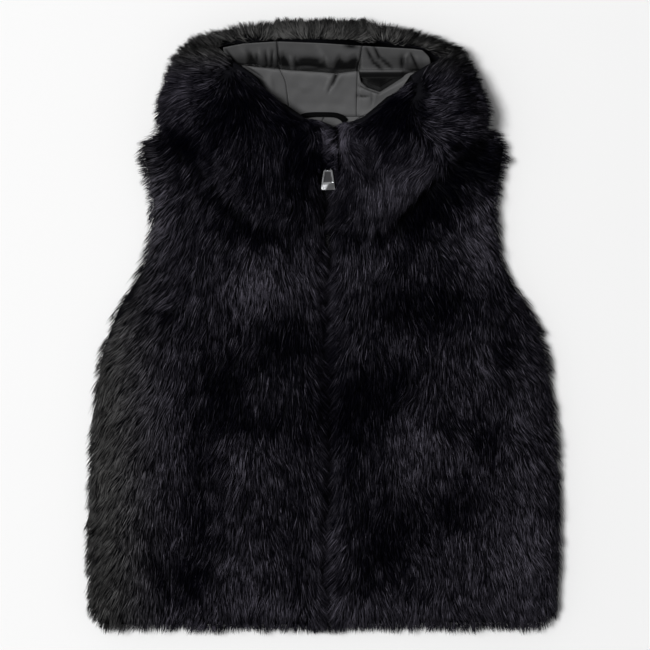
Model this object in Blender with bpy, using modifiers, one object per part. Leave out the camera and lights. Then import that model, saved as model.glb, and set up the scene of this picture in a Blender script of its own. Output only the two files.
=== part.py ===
"""Black faux fur vest with a hood, zipped up to the chin and laid flat on its back.

Each fur piece is a wall as thick as its pile reaches. The two fronts lie on the back panel. The hood
lies beyond the shoulders with its opening upwards, and its sides roll over the shoulders and the chest
as a deep collar. A satin lining shows inside the hood.

Left and right are as seen from above with the hood at the top: +X is right, +Y runs from the hem to
the hood and +Z is up. The origin is on the ground, under the middle of the vest.
"""

import math

import bmesh
import bpy
import numpy as np

MM = 0.001

# Driving sizes in millimetres
PILE_WALL = 13.7  # backing and lying pile of one fur layer
SEAM_GAP = 0.3
LAYER = PILE_WALL + SEAM_GAP  # height at which the fronts begin
CHEST_TOP = 2 * LAYER  # top of the fronts where the hood lies on them
EDGE_WALL = 3.0  # fur wall at an edge, where the pile ends
CLOTH_WALL = 1.6
CENTRE = 4.5  # X of the zip
HEM = -333.0
TOP = 333.0
NECK_SEAM = 234.3  # Y at which the hood is sewn to the back
FRONT_NECK_DROP = 86.0  # how far the front neckline dips below the back one
FRONT_NECK_WIDTH = 98.0
PUFF = 8.0  # how far the fronts swell above the flat chest
PUFF_FADE = (55.0, 105.0)  # Y over which that swelling ends under the collar
OPEN_LIFT = 3.5  # how far the armholes and hem gape
OPEN_REACH = 26.0  # how far in from the edge they gape
HEM_SHUT = 60.0  # distance from the side seam at which the hem is fully open
SIDE_ROUND = 30.0
BACK_ROUND = 12.0
CENTRE_ROUND = 12.0

CHAIN_HALF = 3.0
CHAIN_THICK = 2.6
TAPE_OUTER = 7.7
TAPE_THICK = 0.9
FUR_TO_ZIP = TAPE_OUTER + SEAM_GAP
SLIDER_Y = 181.0
CHAIN_END = SLIDER_Y + 2.0  # the closed teeth end inside the slider
SLIDER_HALF_WIDTH = 5.2
SLIDER_HALF_LENGTH = 5.0
SLIDER_PLATE = 1.2
SLIDER_CLEAR = 0.4  # between the chain and each plate of the slider
POST_HALF_WIDTH = 1.6
POST_START = 2.6
POST_END = 4.6
BITE = 0.6  # how far joined pieces of metal run into each other
ARCH_INNER = 3.1
ARCH_OUTER = 4.3
ARCH_HALF_WIDTH = 1.8
PIN_RADIUS = 0.85
PIN_LENGTH = 6.4
PIN_HEIGHT = 1.9  # of the pull's pin above the slider's top plate
ARM_INNER = 2.4  # the pull's two arms beside the arch, in distance from its middle
ARM_OUTER = 3.9
ARM_END = 0.5  # how far they reach past the pin
PULL_SLOT = 6.6  # length of the gap between the arms
PULL_NECK = 5.1  # the arms begin to widen here
PULL_SHOULDER = 6.4  # and reach the tab's width here
PULL_LENGTH = 26.0
PULL_HALF_TOP = 4.6
PULL_HALF_BOTTOM = 7.6
PULL_CORNER = 1.2
PULL_THICK = 1.8
LOOP_RADIUS = 1.6
FACING_WALL = 1.4
LINING_GAP = 0.6  # across X; it leaves the seam gap where the folded wall leans over the seam
SHARP_ANGLE = 50.0


def table(columns, *rows):
    """One array for each named column."""
    return dict(zip(columns.split(), np.array(rows, float).T))


# Outline of the body, a row for each section across it, in millimetres
BODY = table(
    "y left right",
    (-333, -244, 236),
    (-322, -255, 252),
    (-290, -258, 256),
    (-200, -259, 259),
    (-120, -255, 254),
    (-50, -250, 248),
    (-10, -242, 241),
    (25, -226, 224),
    (52, -208, 206),
    (78, -195, 194),
    (125, -189, 189),
    (160, -193, 192),
    (190, -202, 200),
    (206, -198, 198),
    (215, -186, 188),
    (223, -167, 170),
    (230, -138, 141),
    (234.3, -111, 114),
)

# How far the front's armhole edge lies inside the back's, where the back peeps out
ARMHOLE_STEP = table("y left right", (-60, 0, 0), (-10, 9, 2), (30, 11, 2), (75, 5, 1), (110, 0, 0))

# How much of the opening's lift each place along the armholes takes
ARMHOLE_OPEN = table("y share", (-60, 0), (-40, 0.5), (-20, 1), (150, 1), (175, 0.5), (200, 0))

# Hollows and swells of the fronts: place, reach along and across the fold, its turn and its rise
BODY_FOLDS = table(
    "x y along across turn rise",
    (-107, -77, 42, 20, 90, -7),
    (-36, -17, 40, 20, 10, -6),
    (54, -99, 50, 36, 0, -7),
    (94, 18, 30, 22, 20, -5),
    (159, 34, 30, 22, -30, -5),
    (213, -28, 26, 14, 70, -5),
    (178, -131, 18, 14, 0, -4),
    (152, -199, 24, 17, 20, -4),
    (85, -224, 48, 20, 90, -6),
    (-141, -203, 80, 15, 87, -6),
    (-27, -292, 14, 10, 0, -3),
    (-68, 32, 40, 28, 90, 4),
    (-88, -158, 46, 30, 0, 4),
    (94, -135, 38, 28, 0, 4),
    (57, 53, 26, 18, 90, 3),
    (-215, -216, 100, 30, 90, 3),
    (215, -233, 80, 28, 90, 3),
)

# Creases of the hood's sides
HOOD_FOLDS = table(
    "x y along across turn rise",
    (121, 220, 44, 13, 98, -6),
    (-150, 215, 26, 10, 40, -4),
    (-120, 275, 26, 12, 60, -3),
    (120, 285, 18, 10, -50, -3),
    (-60, 165, 34, 14, -35, -3),
    (62, 170, 30, 14, 35, -3),
)

# The crown's strip of fur, a row for each section across it, from the neck seam to the rim
CROWN = table(
    "y low high",
    (234.6, 0, 13.7),
    (262, 0, 13.7),
    (296, 0, 13.7),
    (306, 0, 17.0),
    (313, 0, 26.0),
    (315.2, 0, 33.5),
    (319, 0.5, 37.0),
    (324, 2.5, 38.5),
    (328.5, 6.0, 36.5),
    (331.5, 11.0, 31.5),
    (333, 18.0, 25.0),
)
CROWN_LEFT = (-49.0, -53.0)  # its X at the neck seam and at the rim
CROWN_RIGHT = (40.0, 43.0)

# The hood's sides, a row for each section from the crown's seam round to the chin: the section's
# outer and inner end, the height of its outer edge, its top, and its inner edge's upper and lower side
HOOD_COLUMNS = "outer_x outer_y inner_x inner_y edge top inner_top inner_low"
HOOD_LEFT = table(
    HOOD_COLUMNS,
    (-53.9, 333, -53.1, 315.2, 21, 38.5, 33.5, 5),
    (-88, 331.5, -88, 313.0, 21, 40, 34, 5),
    (-123, 322.5, -115, 309.0, 22, 43, 35, 5),
    (-150, 312.0, -111, 303.0, 24, 47, 38, 22),
    (-166, 292.0, -91, 290.0, 27, 53, 43, 38),
    (-173, 272.0, -70, 275.5, 30, 57, 43, 38),
    (-179, 250.0, -48, 254.0, 35, 60, 43, 38),
    (-180, 227.5, -31, 241.0, 40, 62, 43, 38),
    (-166, 205.0, -18, 234.0, 42, 64, 43, 37),
    (-134, 180.5, -6.5, 228.5, 42, 64, 44, 31),
    (-110, 153.5, -4.8, 207.0, 41, 63, 44, 28.3),
    (-90, 133.5, -5.0, 182.0, 40, 60, 42, 28.3),
    (-63, 121.0, -5.0, 155.0, 38, 54, 38, 28.3),
    (-30, 118.0, -4.2, 135.0, 36, 46, 35, 28.3),
    (-10, 119.0, -3.9, 122.0, 34, 40, 34, 28.3),
)
HOOD_RIGHT = table(
    HOOD_COLUMNS,
    (43.9, 333, 43.1, 315.2, 21, 38.5, 33.5, 5),
    (80, 329.0, 79, 310.5, 21, 40, 34, 5),
    (117, 316.5, 113, 306.5, 22, 43, 35, 5),
    (146, 306.0, 131, 299.5, 24, 47, 38, 22),
    (161, 288.0, 116, 292.0, 27, 53, 43, 38),
    (169, 268.0, 94, 279.0, 30, 57, 43, 38),
    (177, 245.5, 76, 263.0, 35, 60, 43, 38),
    (179, 223.0, 59, 248.5, 40, 62, 43, 38),
    (161, 200.5, 42, 236.0, 42, 64, 43, 37),
    (137, 181.5, 23, 229.5, 42, 64, 44, 31),
    (110, 158.0, 14.3, 210.0, 41, 63, 44, 28.3),
    (87, 134.5, 14.0, 182.0, 40, 60, 42, 28.3),
    (68, 115.5, 14.0, 155.0, 38, 55, 38, 28.3),
    (42, 114.0, 13.2, 135.0, 36, 48, 35, 28.3),
    (21, 119.0, 12.9, 122.0, 34, 41, 34, 28.3),
)
HOOD_OUTER_ROUND = 30.0
HOOD_INNER_ROUND = 24.0
HOOD_UNDER_ROUND = 16.0
HOOD_BASE = 5.0  # the sides merge here with the layer that lies on the ground
POCKET_DEPTH = 22.0  # how far the lining's edge may tuck in under a side
POCKET_SLOPE = 14.0
DROP_START = 12.0  # distance past the shoulder line at which the sides go down to the ground
DROP_LENGTH = 18.0
RIM_TUCK = 2.0  # the ground layer's rounding ends this far past its top edge, under the rim

# X of the outer edges of the hood's layer on the ground
HOOD_GROUND = table(
    "y left right",
    (234.6, -166, 164),
    (250, -174, 171),
    (272, -167, 163),
    (292, -160, 155),
    (308, -142, 134),
    (319, -116, 104),
    (327, -82, 74),
    (330, -66, 58),
)

# Shoulder line: distance from the middle and Y
SHOULDER = table("out y", (111, 234.3), (138, 230), (167, 223), (187, 215), (198, 206))

# Section of the hood's lining from the neck to the rim: up the lower band, back under its folded top
# edge and up again as the upper band. rise is how much higher its outer edges lie, follow how much of
# the rim's slant the row takes, and left and right are its outer edges
LINING = table(
    "y z rise follow left right",
    (235.2, 15.4, 7, 0, -47, 52),
    (248, 17.0, 7, 0, -58, 74),
    (262, 20.5, 7, 0.1, -72, 92),
    (275, 25.0, 7, 0.3, -86, 106),
    (283, 27.6, 7, 0.5, -97, 116),
    (286.6, 27.2, 7, 0.5, -101, 119),
    (287.6, 25.4, 7, 0.5, -102, 120),
    (285, 23.4, 7, 0.5, -99, 118),
    (278, 21.4, 7, 0.5, -92, 110),
    (271, 20.0, 7, 0.5, -84, 102),
    (268.8, 18.4, 7, 0.5, -82, 100),
    (270.5, 16.6, 7, 0.5, -84, 102),
    (275, 15.7, 7, 0.5, -88, 106),
    (284, 15.9, 6.5, 0.6, -97, 114),
    (295, 17.6, 5.5, 0.7, -99, 118),
    (304.5, 24.5, 4, 0.9, -100, 118),
    (310, 30.5, 3, 1, -103, 116),
    (313.4, 35.0, 2, 1, -104, 108),
)
RIM_SLANT = table("x y", (-117, -5.5), (-52, 0), (43, -2.5), (130, -9))
LINING_SEAM_LEFT = table("y x", (235, -39), (262, -41), (287, -49), (314, -52.5))
LINING_SEAM_RIGHT = table("y x", (235, 36), (287, 37), (314, 42.5))

# Course of the zip, from the hem up to the chin
ZIP = table(
    "y z",
    (-332, 15.6),
    (20, 15.6),
    (60, 15.7),
    (95, 16.2),
    (112, 18.8),
    (130, 28.5),
    (150, 39.1),
    (171, 43.55),
    (192, 48.0),
)

NECK_FACING = (-44.0, 50.0, 221.0, 234.8)  # left, right, lower and upper edge
LOOP_ROUTE = table(
    "x y z",
    (-27, 231.5, 17.4),
    (-26.5, 235.5, 18.6),
    (-22, 239.3, 19.2),
    (-12, 240.8, 19.5),
    (4, 241.2, 19.6),
    (14, 240.2, 19.5),
    (21, 236.8, 19.0),
    (24, 232.0, 17.4),
)


def through(places, values, at):
    """A smooth curve through the values at the places: cubic pieces with the rows' own mean slopes."""
    at = np.clip(at, places[0], places[-1])
    slopes = np.gradient(values, places)
    i = np.clip(np.searchsorted(places, at) - 1, 0, len(places) - 2)
    step = places[i + 1] - places[i]
    t = (at - places[i]) / step
    ends = (2 * t**3 - 3 * t**2 + 1) * values[i] + (3 * t**2 - 2 * t**3) * values[i + 1]
    return ends + step * ((t**3 - 2 * t**2 + t) * slopes[i] + (t**3 - t**2) * slopes[i + 1])


def rounded(distance, radius):
    """0 at an edge and 1 from the radius inwards, along a quarter of an ellipse."""
    return np.sqrt(1 - (1 - np.clip(distance / radius, 0, 1)) ** 2)


def faded(value, start, end):
    """1 before start and 0 after end, with a smooth step between them."""
    t = np.clip((value - start) / (end - start), 0, 1)
    return 1 - t * t * (3 - 2 * t)


def spaced(count):
    """Shares from 0 to 1 that lie closer together near both ends."""
    return (1 - np.cos(np.linspace(0, math.pi, count))) / 2


def folds(rows, x, y):
    """Sum of soft bell-shaped troughs and ridges."""
    total = np.zeros_like(x)
    for fx, fy, along, across, turn, rise in zip(*rows.values()):
        angle = math.radians(turn)
        a = (x - fx) * math.cos(angle) + (y - fy) * math.sin(angle)
        b = (y - fy) * math.cos(angle) - (x - fx) * math.sin(angle)
        total += rise * np.exp(-((a / along) ** 2) - (b / across) ** 2)
    return total


def material(name, colour, roughness, metallic=0.0):
    """A plain Principled material."""
    made = bpy.data.materials.new(name)
    made.use_nodes = True
    shader = made.node_tree.nodes["Principled BSDF"]
    shader.inputs["Base Color"].default_value = (*colour, 1)
    shader.inputs["Roughness"].default_value = roughness
    shader.inputs["Metallic"].default_value = metallic
    return made


def add_object(name, mesh, finish, smooth=True):
    """Puts a mesh into the vest's collection."""
    mesh.materials.append(finish)
    if smooth:
        mesh.shade_smooth()
        mesh.set_sharp_from_angle(angle=math.radians(SHARP_ANGLE))
    made = bpy.data.objects.new(name, mesh)
    bpy.data.collections["faux_fur_vest"].objects.link(made)
    return made


def grid_faces(rows, columns, start, flip):
    """The faces of a grid of points, numbered row by row."""
    i, j = np.meshgrid(np.arange(rows - 1), np.arange(columns - 1), indexing="ij")
    a = start + i * columns + j
    quads = np.stack([a, a + 1, a + columns + 1, a + columns], -1).reshape(-1, 4)
    return quads[:, ::-1] if flip else quads


def layer_mesh(name, x, y, low, high):
    """A closed wall between two height fields over one grid: Y grows with the row, X with the column."""
    rows, columns = x.shape
    count = rows * columns
    points = np.concatenate([np.stack([x, y, z], -1).reshape(-1, 3) for z in (high, low)]) * MM
    number = np.arange(count).reshape(rows, columns)
    rim = np.concatenate([number[0], number[1:, -1], number[-1, -2::-1], number[-2:0:-1, 0]])
    after = np.roll(rim, -1)
    walls = np.stack([after, rim, rim + count, after + count], -1)
    upper = grid_faces(rows, columns, 0, False)
    lower = grid_faces(rows, columns, count, True)
    mesh = bpy.data.meshes.new(name)
    mesh.from_pydata(points.tolist(), [], np.concatenate([upper, lower, walls]).tolist())
    mesh.update()
    return mesh


def body_edges(y, inset_left=0.0, inset_right=0.0):
    """The body's left and right edge at each Y."""
    left = through(BODY["y"], BODY["left"], y) + inset_left
    right = through(BODY["y"], BODY["right"], y) - inset_right
    return left, right


def build_back(fur):
    """The back panel, flat on the ground, its outer edges rounding up to the side seams."""
    y = HEM + (NECK_SEAM - HEM) * spaced(20)[:, None]
    left, right = body_edges(y)
    x = left + (right - left) * spaced(15)[None, :]
    y = np.broadcast_to(y, x.shape)
    inwards = np.minimum(np.minimum(x - left, right - x), y - HEM)
    low = (PILE_WALL - EDGE_WALL) * (1 - rounded(inwards, BACK_ROUND))
    high = np.full_like(x, PILE_WALL)
    return add_object("back", layer_mesh("back", x, y, low, high), fur)


def build_front(name, side, fur):
    """One front: side -1 is left of the zip and 1 right of it."""
    key = "left" if side < 0 else "right"
    y = HEM + (NECK_SEAM - 2 - HEM) * spaced(24)[:, None]
    step = through(ARMHOLE_STEP["y"], ARMHOLE_STEP[key], y)
    outer = body_edges(y, step, step)[0 if side < 0 else 1]
    climb = np.clip((NECK_SEAM - y) / FRONT_NECK_DROP, 0, 1)
    inner = CENTRE + side * (FUR_TO_ZIP + FRONT_NECK_WIDTH * np.sqrt(1 - climb**2))
    share = spaced(13)[None, :]
    x = outer + (inner - outer) * (share if side < 0 else 1 - share)
    y = np.broadcast_to(y, x.shape)
    from_side = (x - outer) * -side
    from_centre = (inner - x) * -side
    swell = PUFF + folds(BODY_FOLDS, x, y)
    full = CHEST_TOP + swell * faded(y, *PUFF_FADE)
    top = np.minimum(rounded(from_side, SIDE_ROUND), rounded(from_centre, CENTRE_ROUND))
    top = np.minimum(top, rounded(y - HEM, SIDE_ROUND))
    open_here = np.interp(y, ARMHOLE_OPEN["y"], ARMHOLE_OPEN["share"])
    armhole = open_here * (1 - rounded(from_side, OPEN_REACH))
    hem = (1 - rounded(y - HEM, OPEN_REACH)) * rounded(from_side, HEM_SHUT)
    low = LAYER + OPEN_LIFT * np.maximum(armhole, hem)
    edge = LAYER + EDGE_WALL
    high = np.maximum(edge + (full - edge) * top, low + EDGE_WALL)
    return add_object(name, layer_mesh(name, x, y, low, high), fur)


def crown_edges(y):
    """The seams between the crown's strip and the hood's sides."""
    share = (y - NECK_SEAM) / (TOP - NECK_SEAM)
    return [ends[0] + (ends[1] - ends[0]) * share for ends in (CROWN_LEFT, CROWN_RIGHT)]


def build_hood_centre(fur):
    """The strip over the crown: flat on the ground, then turned up into the rim."""
    y = CROWN["y"][:, None]
    left, right = crown_edges(y)
    x = left + (right - left) * np.linspace(0, 1, 9)[None, :]
    low, high = (np.broadcast_to(CROWN[key][:, None], x.shape) for key in ("low", "high"))
    mesh = layer_mesh("hood_centre", x, np.broadcast_to(y, x.shape), low, high)
    return add_object("hood_centre", mesh, fur)


def under_height(x, y):
    """Underside of the hood's sides: on the chest, and down to the ground past the shoulder line."""
    shoulder = np.interp(np.abs(x), SHOULDER["out"], SHOULDER["y"])
    past = np.clip((y - shoulder - DROP_START) / DROP_LENGTH, 0, 1)
    return CHEST_TOP + SEAM_GAP + (HOOD_BASE - CHEST_TOP - SEAM_GAP) * past


def build_hood_side(name, side, rows, fur):
    """One side of the hood: the rolled collar joined to the layer that lies on the ground."""
    count = len(rows["top"])
    fine = np.linspace(0, count - 1, 2 * count - 1)
    station = {key: through(np.arange(count), value, fine)[:, None] for key, value in rows.items()}
    share = spaced(12)[None, :]
    x = station["outer_x"] + (station["inner_x"] - station["outer_x"]) * share
    y = station["outer_y"] + (station["inner_y"] - station["outer_y"]) * share
    length = np.hypot(station["inner_x"] - station["outer_x"], station["inner_y"] - station["outer_y"])
    from_outer = share * length
    from_inner = length - from_outer
    wall = EDGE_WALL / 2
    edge = station["edge"]
    creased = rounded(np.minimum(from_outer, from_inner), HOOD_OUTER_ROUND)
    peak = station["top"] + folds(HOOD_FOLDS, x, y) * creased
    outside = edge + wall + (peak - edge - wall) * rounded(from_outer, HOOD_OUTER_ROUND)
    inside = station["inner_top"] + (peak - station["inner_top"]) * rounded(from_inner, HOOD_INNER_ROUND)
    high = np.minimum(outside, inside)
    base = under_height(x, y)
    pocket = np.clip(1 - (from_inner - POCKET_DEPTH) / POCKET_SLOPE, 0, 1)
    base = base + (np.maximum(station["inner_low"], base) - base) * pocket
    low = edge - wall - (edge - wall - base) * rounded(from_outer, HOOD_UNDER_ROUND)
    low = np.maximum(low, np.minimum(base, edge - wall))
    if side < 0:  # the sections run from the crown down, so rows are turned to keep Y growing
        x, y, low, high = (field[::-1] for field in (x, y, low, high))
    else:
        x, y, low, high = (field[::-1, ::-1] for field in (x, y, low, high))
    collar = add_object(name, layer_mesh(name, x, y, low, high), fur)

    y = HOOD_GROUND["y"][0] + (HOOD_GROUND["y"][-1] - HOOD_GROUND["y"][0]) * spaced(9)[:, None]
    outer = through(HOOD_GROUND["y"], HOOD_GROUND["left" if side < 0 else "right"], y)
    inner = crown_edges(y)[0 if side < 0 else 1] + side * SEAM_GAP
    share = spaced(8)[None, :]
    x = outer + (inner - outer) * (share if side < 0 else 1 - share)
    y = np.broadcast_to(y, x.shape)
    inwards = np.minimum(np.abs(x - outer), HOOD_GROUND["y"][-1] + RIM_TUCK - y)
    low = (PILE_WALL - 2 * EDGE_WALL) * (1 - rounded(inwards, BACK_ROUND))
    high = np.full_like(x, PILE_WALL)
    unite(collar, add_object(name + "_ground", layer_mesh(name + "_ground", x, y, low, high), fur))


def build_lining(name, edges, satin, columns):
    """One panel of the hood's lining: the folded section carried across between its two edges."""
    left, right = (edge[:, None] for edge in edges)
    x = left + (right - left) * np.linspace(0, 1, columns)[None, :]
    middle = np.where(x < 0, LINING_SEAM_LEFT["x"][0], LINING_SEAM_RIGHT["x"][0])
    reach = np.where(x < 0, LINING["left"][:, None], LINING["right"][:, None])
    out = np.clip((x - middle) / (reach - middle), 0, 1) ** 2
    y = LINING["y"][:, None] + LINING["follow"][:, None] * np.interp(x, RIM_SLANT["x"], RIM_SLANT["y"])
    z = LINING["z"][:, None] + LINING["rise"][:, None] * out
    rows = len(LINING["y"])
    mesh = bpy.data.meshes.new(name)
    points = np.stack([x, y, z], -1).reshape(-1, 3) * MM
    mesh.from_pydata(points.tolist(), [], grid_faces(rows, columns, 0, False).tolist())
    mesh.update()
    panel = add_object(name, mesh, satin)
    wall = panel.modifiers.new("wall", "SOLIDIFY")
    wall.thickness = CLOTH_WALL * MM
    wall.offset = 0
    return panel


def build_linings(satin):
    """Left, centre and right panel, a seam gap apart."""
    seams = [
        np.interp(LINING["y"], seam["y"], seam["x"]) for seam in (LINING_SEAM_LEFT, LINING_SEAM_RIGHT)
    ]
    half = LINING_GAP / 2
    build_lining("lining_left", (LINING["left"], seams[0] - half), satin, 6)
    build_lining("lining_centre", (seams[0] + half, seams[1] - half), satin, 7)
    build_lining("lining_right", (seams[1] + half, LINING["right"]), satin, 6)


def build_neck_facing(satin):
    """The strip of satin inside the back neck."""
    left, right, lower, upper = NECK_FACING
    x, y = np.meshgrid(np.linspace(left, right, 9), np.linspace(lower, upper, 3))
    low = np.full_like(x, LAYER)
    mesh = layer_mesh("neck_facing", x, y, low, low + FACING_WALL)
    add_object("neck_facing", mesh, satin)


def build_loop(cord):
    """The hanger loop, a round cord sewn down at both ends."""
    curve = bpy.data.curves.new("hanger_loop", "CURVE")
    curve.dimensions = "3D"
    count = len(LOOP_ROUTE["x"])
    fine = np.linspace(0, count - 1, 2 * count)
    points = np.stack([through(np.arange(count), LOOP_ROUTE[key], fine) for key in "xyz"], 1) * MM
    spline = curve.splines.new("POLY")
    spline.points.add(len(points) - 1)
    for point, place in zip(spline.points, points):
        point.co = (*place, 1)
    curve.bevel_depth = LOOP_RADIUS * MM
    curve.bevel_resolution = 2
    curve.use_fill_caps = True
    curve.materials.append(cord)
    bpy.data.collections["faux_fur_vest"].objects.link(bpy.data.objects.new("hanger_loop", curve))


def zip_height(y):
    """Height of the middle of the zip at each Y."""
    return through(ZIP["y"], ZIP["z"], y)


def zip_strip(name, left, right, thickness, end, finish):
    """A flat strip along the zip's course."""
    straight = np.linspace(ZIP["y"][0], ZIP["y"][1], 6)
    y = np.concatenate([straight, np.linspace(ZIP["y"][1], end, 19)[1:]])[:, None]
    x = CENTRE + np.array([[left, right]])
    height = np.broadcast_to(zip_height(y), (len(y), 2))
    x, y = np.broadcast_arrays(x, y)
    mesh = layer_mesh(name, x, y, height - thickness / 2, height + thickness / 2)
    return add_object(name, mesh, finish, smooth=False)


def box_mesh(low, high):
    """A block between two corners, in millimetres."""
    made = bmesh.new()
    bmesh.ops.create_cube(made, size=1)
    for vert in made.verts:
        vert.co = [(a + (b - a) * (c + 0.5)) * MM for a, b, c in zip(low, high, vert.co)]
    return made


def to_object(name, made, finish):
    """Turns a finished bmesh into an object."""
    mesh = bpy.data.meshes.new(name)
    made.to_mesh(mesh)
    made.free()
    return add_object(name, mesh, finish)


def unite(whole, piece):
    """Joins a piece to the whole and keeps the piece as a hidden helper."""
    join = whole.modifiers.new(piece.name, "BOOLEAN")
    join.operation = "UNION"
    join.object = piece
    piece.hide_render = True
    piece.display_type = "WIRE"
    bpy.data.collections["faux_fur_vest"].objects.unlink(piece)
    bpy.data.collections["cutters"].objects.link(piece)


def prism(name, corners, push, finish):
    """A flat face through the corners, pushed along a vector into a solid, in millimetres."""
    made = bmesh.new()
    face = made.faces.new([made.verts.new([c * MM for c in corner]) for corner in corners])
    pushed = bmesh.ops.extrude_face_region(made, geom=[face])["geom"]
    moved = [item for item in pushed if isinstance(item, bmesh.types.BMVert)]
    bmesh.ops.translate(made, vec=[c * MM for c in push], verts=moved)
    bmesh.ops.recalc_face_normals(made, faces=made.faces)
    return to_object(name, made, finish)


def build_arch(metal):
    """The slider's bridge over the pull's pin: half a ring with its feet in the top plate."""
    angles = np.linspace(0, math.pi, 13)
    outer = [(ARCH_OUTER * math.cos(a), ARCH_OUTER * math.sin(a)) for a in angles]
    inner = [(ARCH_INNER * math.cos(a), ARCH_INNER * math.sin(a)) for a in angles[::-1]]
    right_foot = [(ARCH_INNER, -BITE), (ARCH_OUTER, -BITE)]
    left_foot = [(-ARCH_OUTER, -BITE), (-ARCH_INNER, -BITE)]
    corners = [(-ARCH_HALF_WIDTH, y, z) for y, z in right_foot + outer + left_foot + inner]
    return prism("slider_arch", corners, (2 * ARCH_HALF_WIDTH, 0, 0), metal)


def place_on_zip(obj, height, slope):
    """Lays an object on the zip's slope at the slider, raised by a height."""
    obj.rotation_euler = (slope, 0, 0)
    middle = zip_height(np.array([SLIDER_Y]))[0]
    up = (-math.sin(slope) * height, math.cos(slope) * height)
    obj.location = (CENTRE * MM, (SLIDER_Y + up[0]) * MM, (middle + up[1]) * MM)


def build_slider(metal, slope):
    """The slider: two plates round the chain, joined by a post, and the arch on top."""
    inner = CHAIN_THICK / 2 + SLIDER_CLEAR
    outer = inner + SLIDER_PLATE
    wide, long = SLIDER_HALF_WIDTH, SLIDER_HALF_LENGTH
    slider = to_object("zip_slider", box_mesh((-wide, -long, inner), (wide, long, outer)), metal)
    sole = to_object("slider_sole", box_mesh((-wide, -long, -outer), (wide, long, -inner)), metal)
    low, high = (-POST_HALF_WIDTH, POST_START, -inner - BITE), (POST_HALF_WIDTH, POST_END, inner + BITE)
    post = to_object("slider_post", box_mesh(low, high), metal)
    arch = build_arch(metal)
    for piece in (slider, sole, post):
        place_on_zip(piece, 0, slope)
    place_on_zip(arch, outer, slope)
    for piece in (post, sole, arch):
        unite(slider, piece)
    return outer


def build_pull(metal, slope, plate_top):
    """The pull: a pin under the arch, two arms beside it and a tab that widens to its end."""
    right = [
        (PULL_HALF_BOTTOM - PULL_CORNER, -PULL_LENGTH),
        (PULL_HALF_BOTTOM, -PULL_LENGTH + PULL_CORNER),
        (PULL_HALF_TOP, -PULL_SHOULDER),
        (ARM_OUTER, -PULL_NECK),
        (ARM_OUTER, ARM_END),
        (ARM_INNER, ARM_END),
        (ARM_INNER, -PULL_SLOT),
    ]
    corners = [(x, y, -PULL_THICK / 2) for x, y in right + [(-x, y) for x, y in right[::-1]]]
    pull = prism("zip_pull", corners, (0, 0, PULL_THICK), metal)
    pin = bmesh.new()
    radius, length = PIN_RADIUS * MM, PIN_LENGTH * MM
    bmesh.ops.create_cone(pin, cap_ends=True, segments=12, radius1=radius, radius2=radius, depth=length)
    for vert in pin.verts:
        vert.co = (vert.co.z, vert.co.y, -vert.co.x)
    pin = to_object("pull_pin", pin, metal)
    for piece in (pull, pin):
        place_on_zip(piece, plate_top + PIN_HEIGHT, slope)
    unite(pull, pin)


def build():
    """Clears the file and builds the vest."""
    for item in list(bpy.data.objects):
        bpy.data.objects.remove(item)
    for name in ("faux_fur_vest", "cutters"):
        bpy.context.scene.collection.children.link(bpy.data.collections.new(name))
    fur = material("black_fur", (0.012, 0.012, 0.014), 0.65)
    satin = material("grey_satin", (0.09, 0.09, 0.095), 0.42)
    cord = material("black_cord", (0.01, 0.01, 0.01), 0.7)
    tape = material("black_tape", (0.01, 0.01, 0.01), 0.8)
    plastic = material("black_plastic", (0.01, 0.01, 0.011), 0.4)
    metal = material("bright_metal", (0.75, 0.76, 0.78), 0.18, 1.0)

    build_back(fur)
    build_front("front_left", -1, fur)
    build_front("front_right", 1, fur)
    build_hood_centre(fur)
    build_hood_side("hood_side_left", -1, HOOD_LEFT, fur)
    build_hood_side("hood_side_right", 1, HOOD_RIGHT, fur)
    build_linings(satin)
    build_neck_facing(satin)
    build_loop(cord)

    top = ZIP["y"][-1]
    zip_strip("zip_chain", -CHAIN_HALF, CHAIN_HALF, CHAIN_THICK, CHAIN_END, plastic)
    tape_inner = CHAIN_HALF + SEAM_GAP
    zip_strip("zip_tape_left", -TAPE_OUTER, -tape_inner, TAPE_THICK, top, tape)
    zip_strip("zip_tape_right", tape_inner, TAPE_OUTER, TAPE_THICK, top, tape)
    low_end, high_end = zip_height(np.array([SLIDER_Y - SLIDER_HALF_LENGTH, SLIDER_Y + SLIDER_HALF_LENGTH]))
    slope = math.atan2(high_end - low_end, 2 * SLIDER_HALF_LENGTH)
    plate_top = build_slider(metal, slope)
    build_pull(metal, slope, plate_top)


build()
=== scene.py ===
"""Looks of a hooded vest of black faux fur, zipped up to the chin and laid flat on its back.

Each fur panel is a dark pelt, a little inside its CAD solid, with strands of pile rooted in it. The hood's
lining, the hanger loop and the zip are surfaces of their own. Tables are in millimetres, and left and right
are as seen from above with the hood at the top.
"""

import math

import bpy
import numpy as np
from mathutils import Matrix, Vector
from mathutils.bvhtree import BVHTree
from mathutils.kdtree import KDTree


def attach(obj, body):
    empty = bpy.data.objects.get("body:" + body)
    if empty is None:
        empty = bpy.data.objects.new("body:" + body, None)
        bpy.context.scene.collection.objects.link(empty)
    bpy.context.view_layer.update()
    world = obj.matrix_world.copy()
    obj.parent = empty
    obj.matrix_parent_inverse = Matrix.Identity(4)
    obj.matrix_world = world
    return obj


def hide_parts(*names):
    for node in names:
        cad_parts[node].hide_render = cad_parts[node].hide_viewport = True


MM = 0.001
SEED = 7

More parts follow.
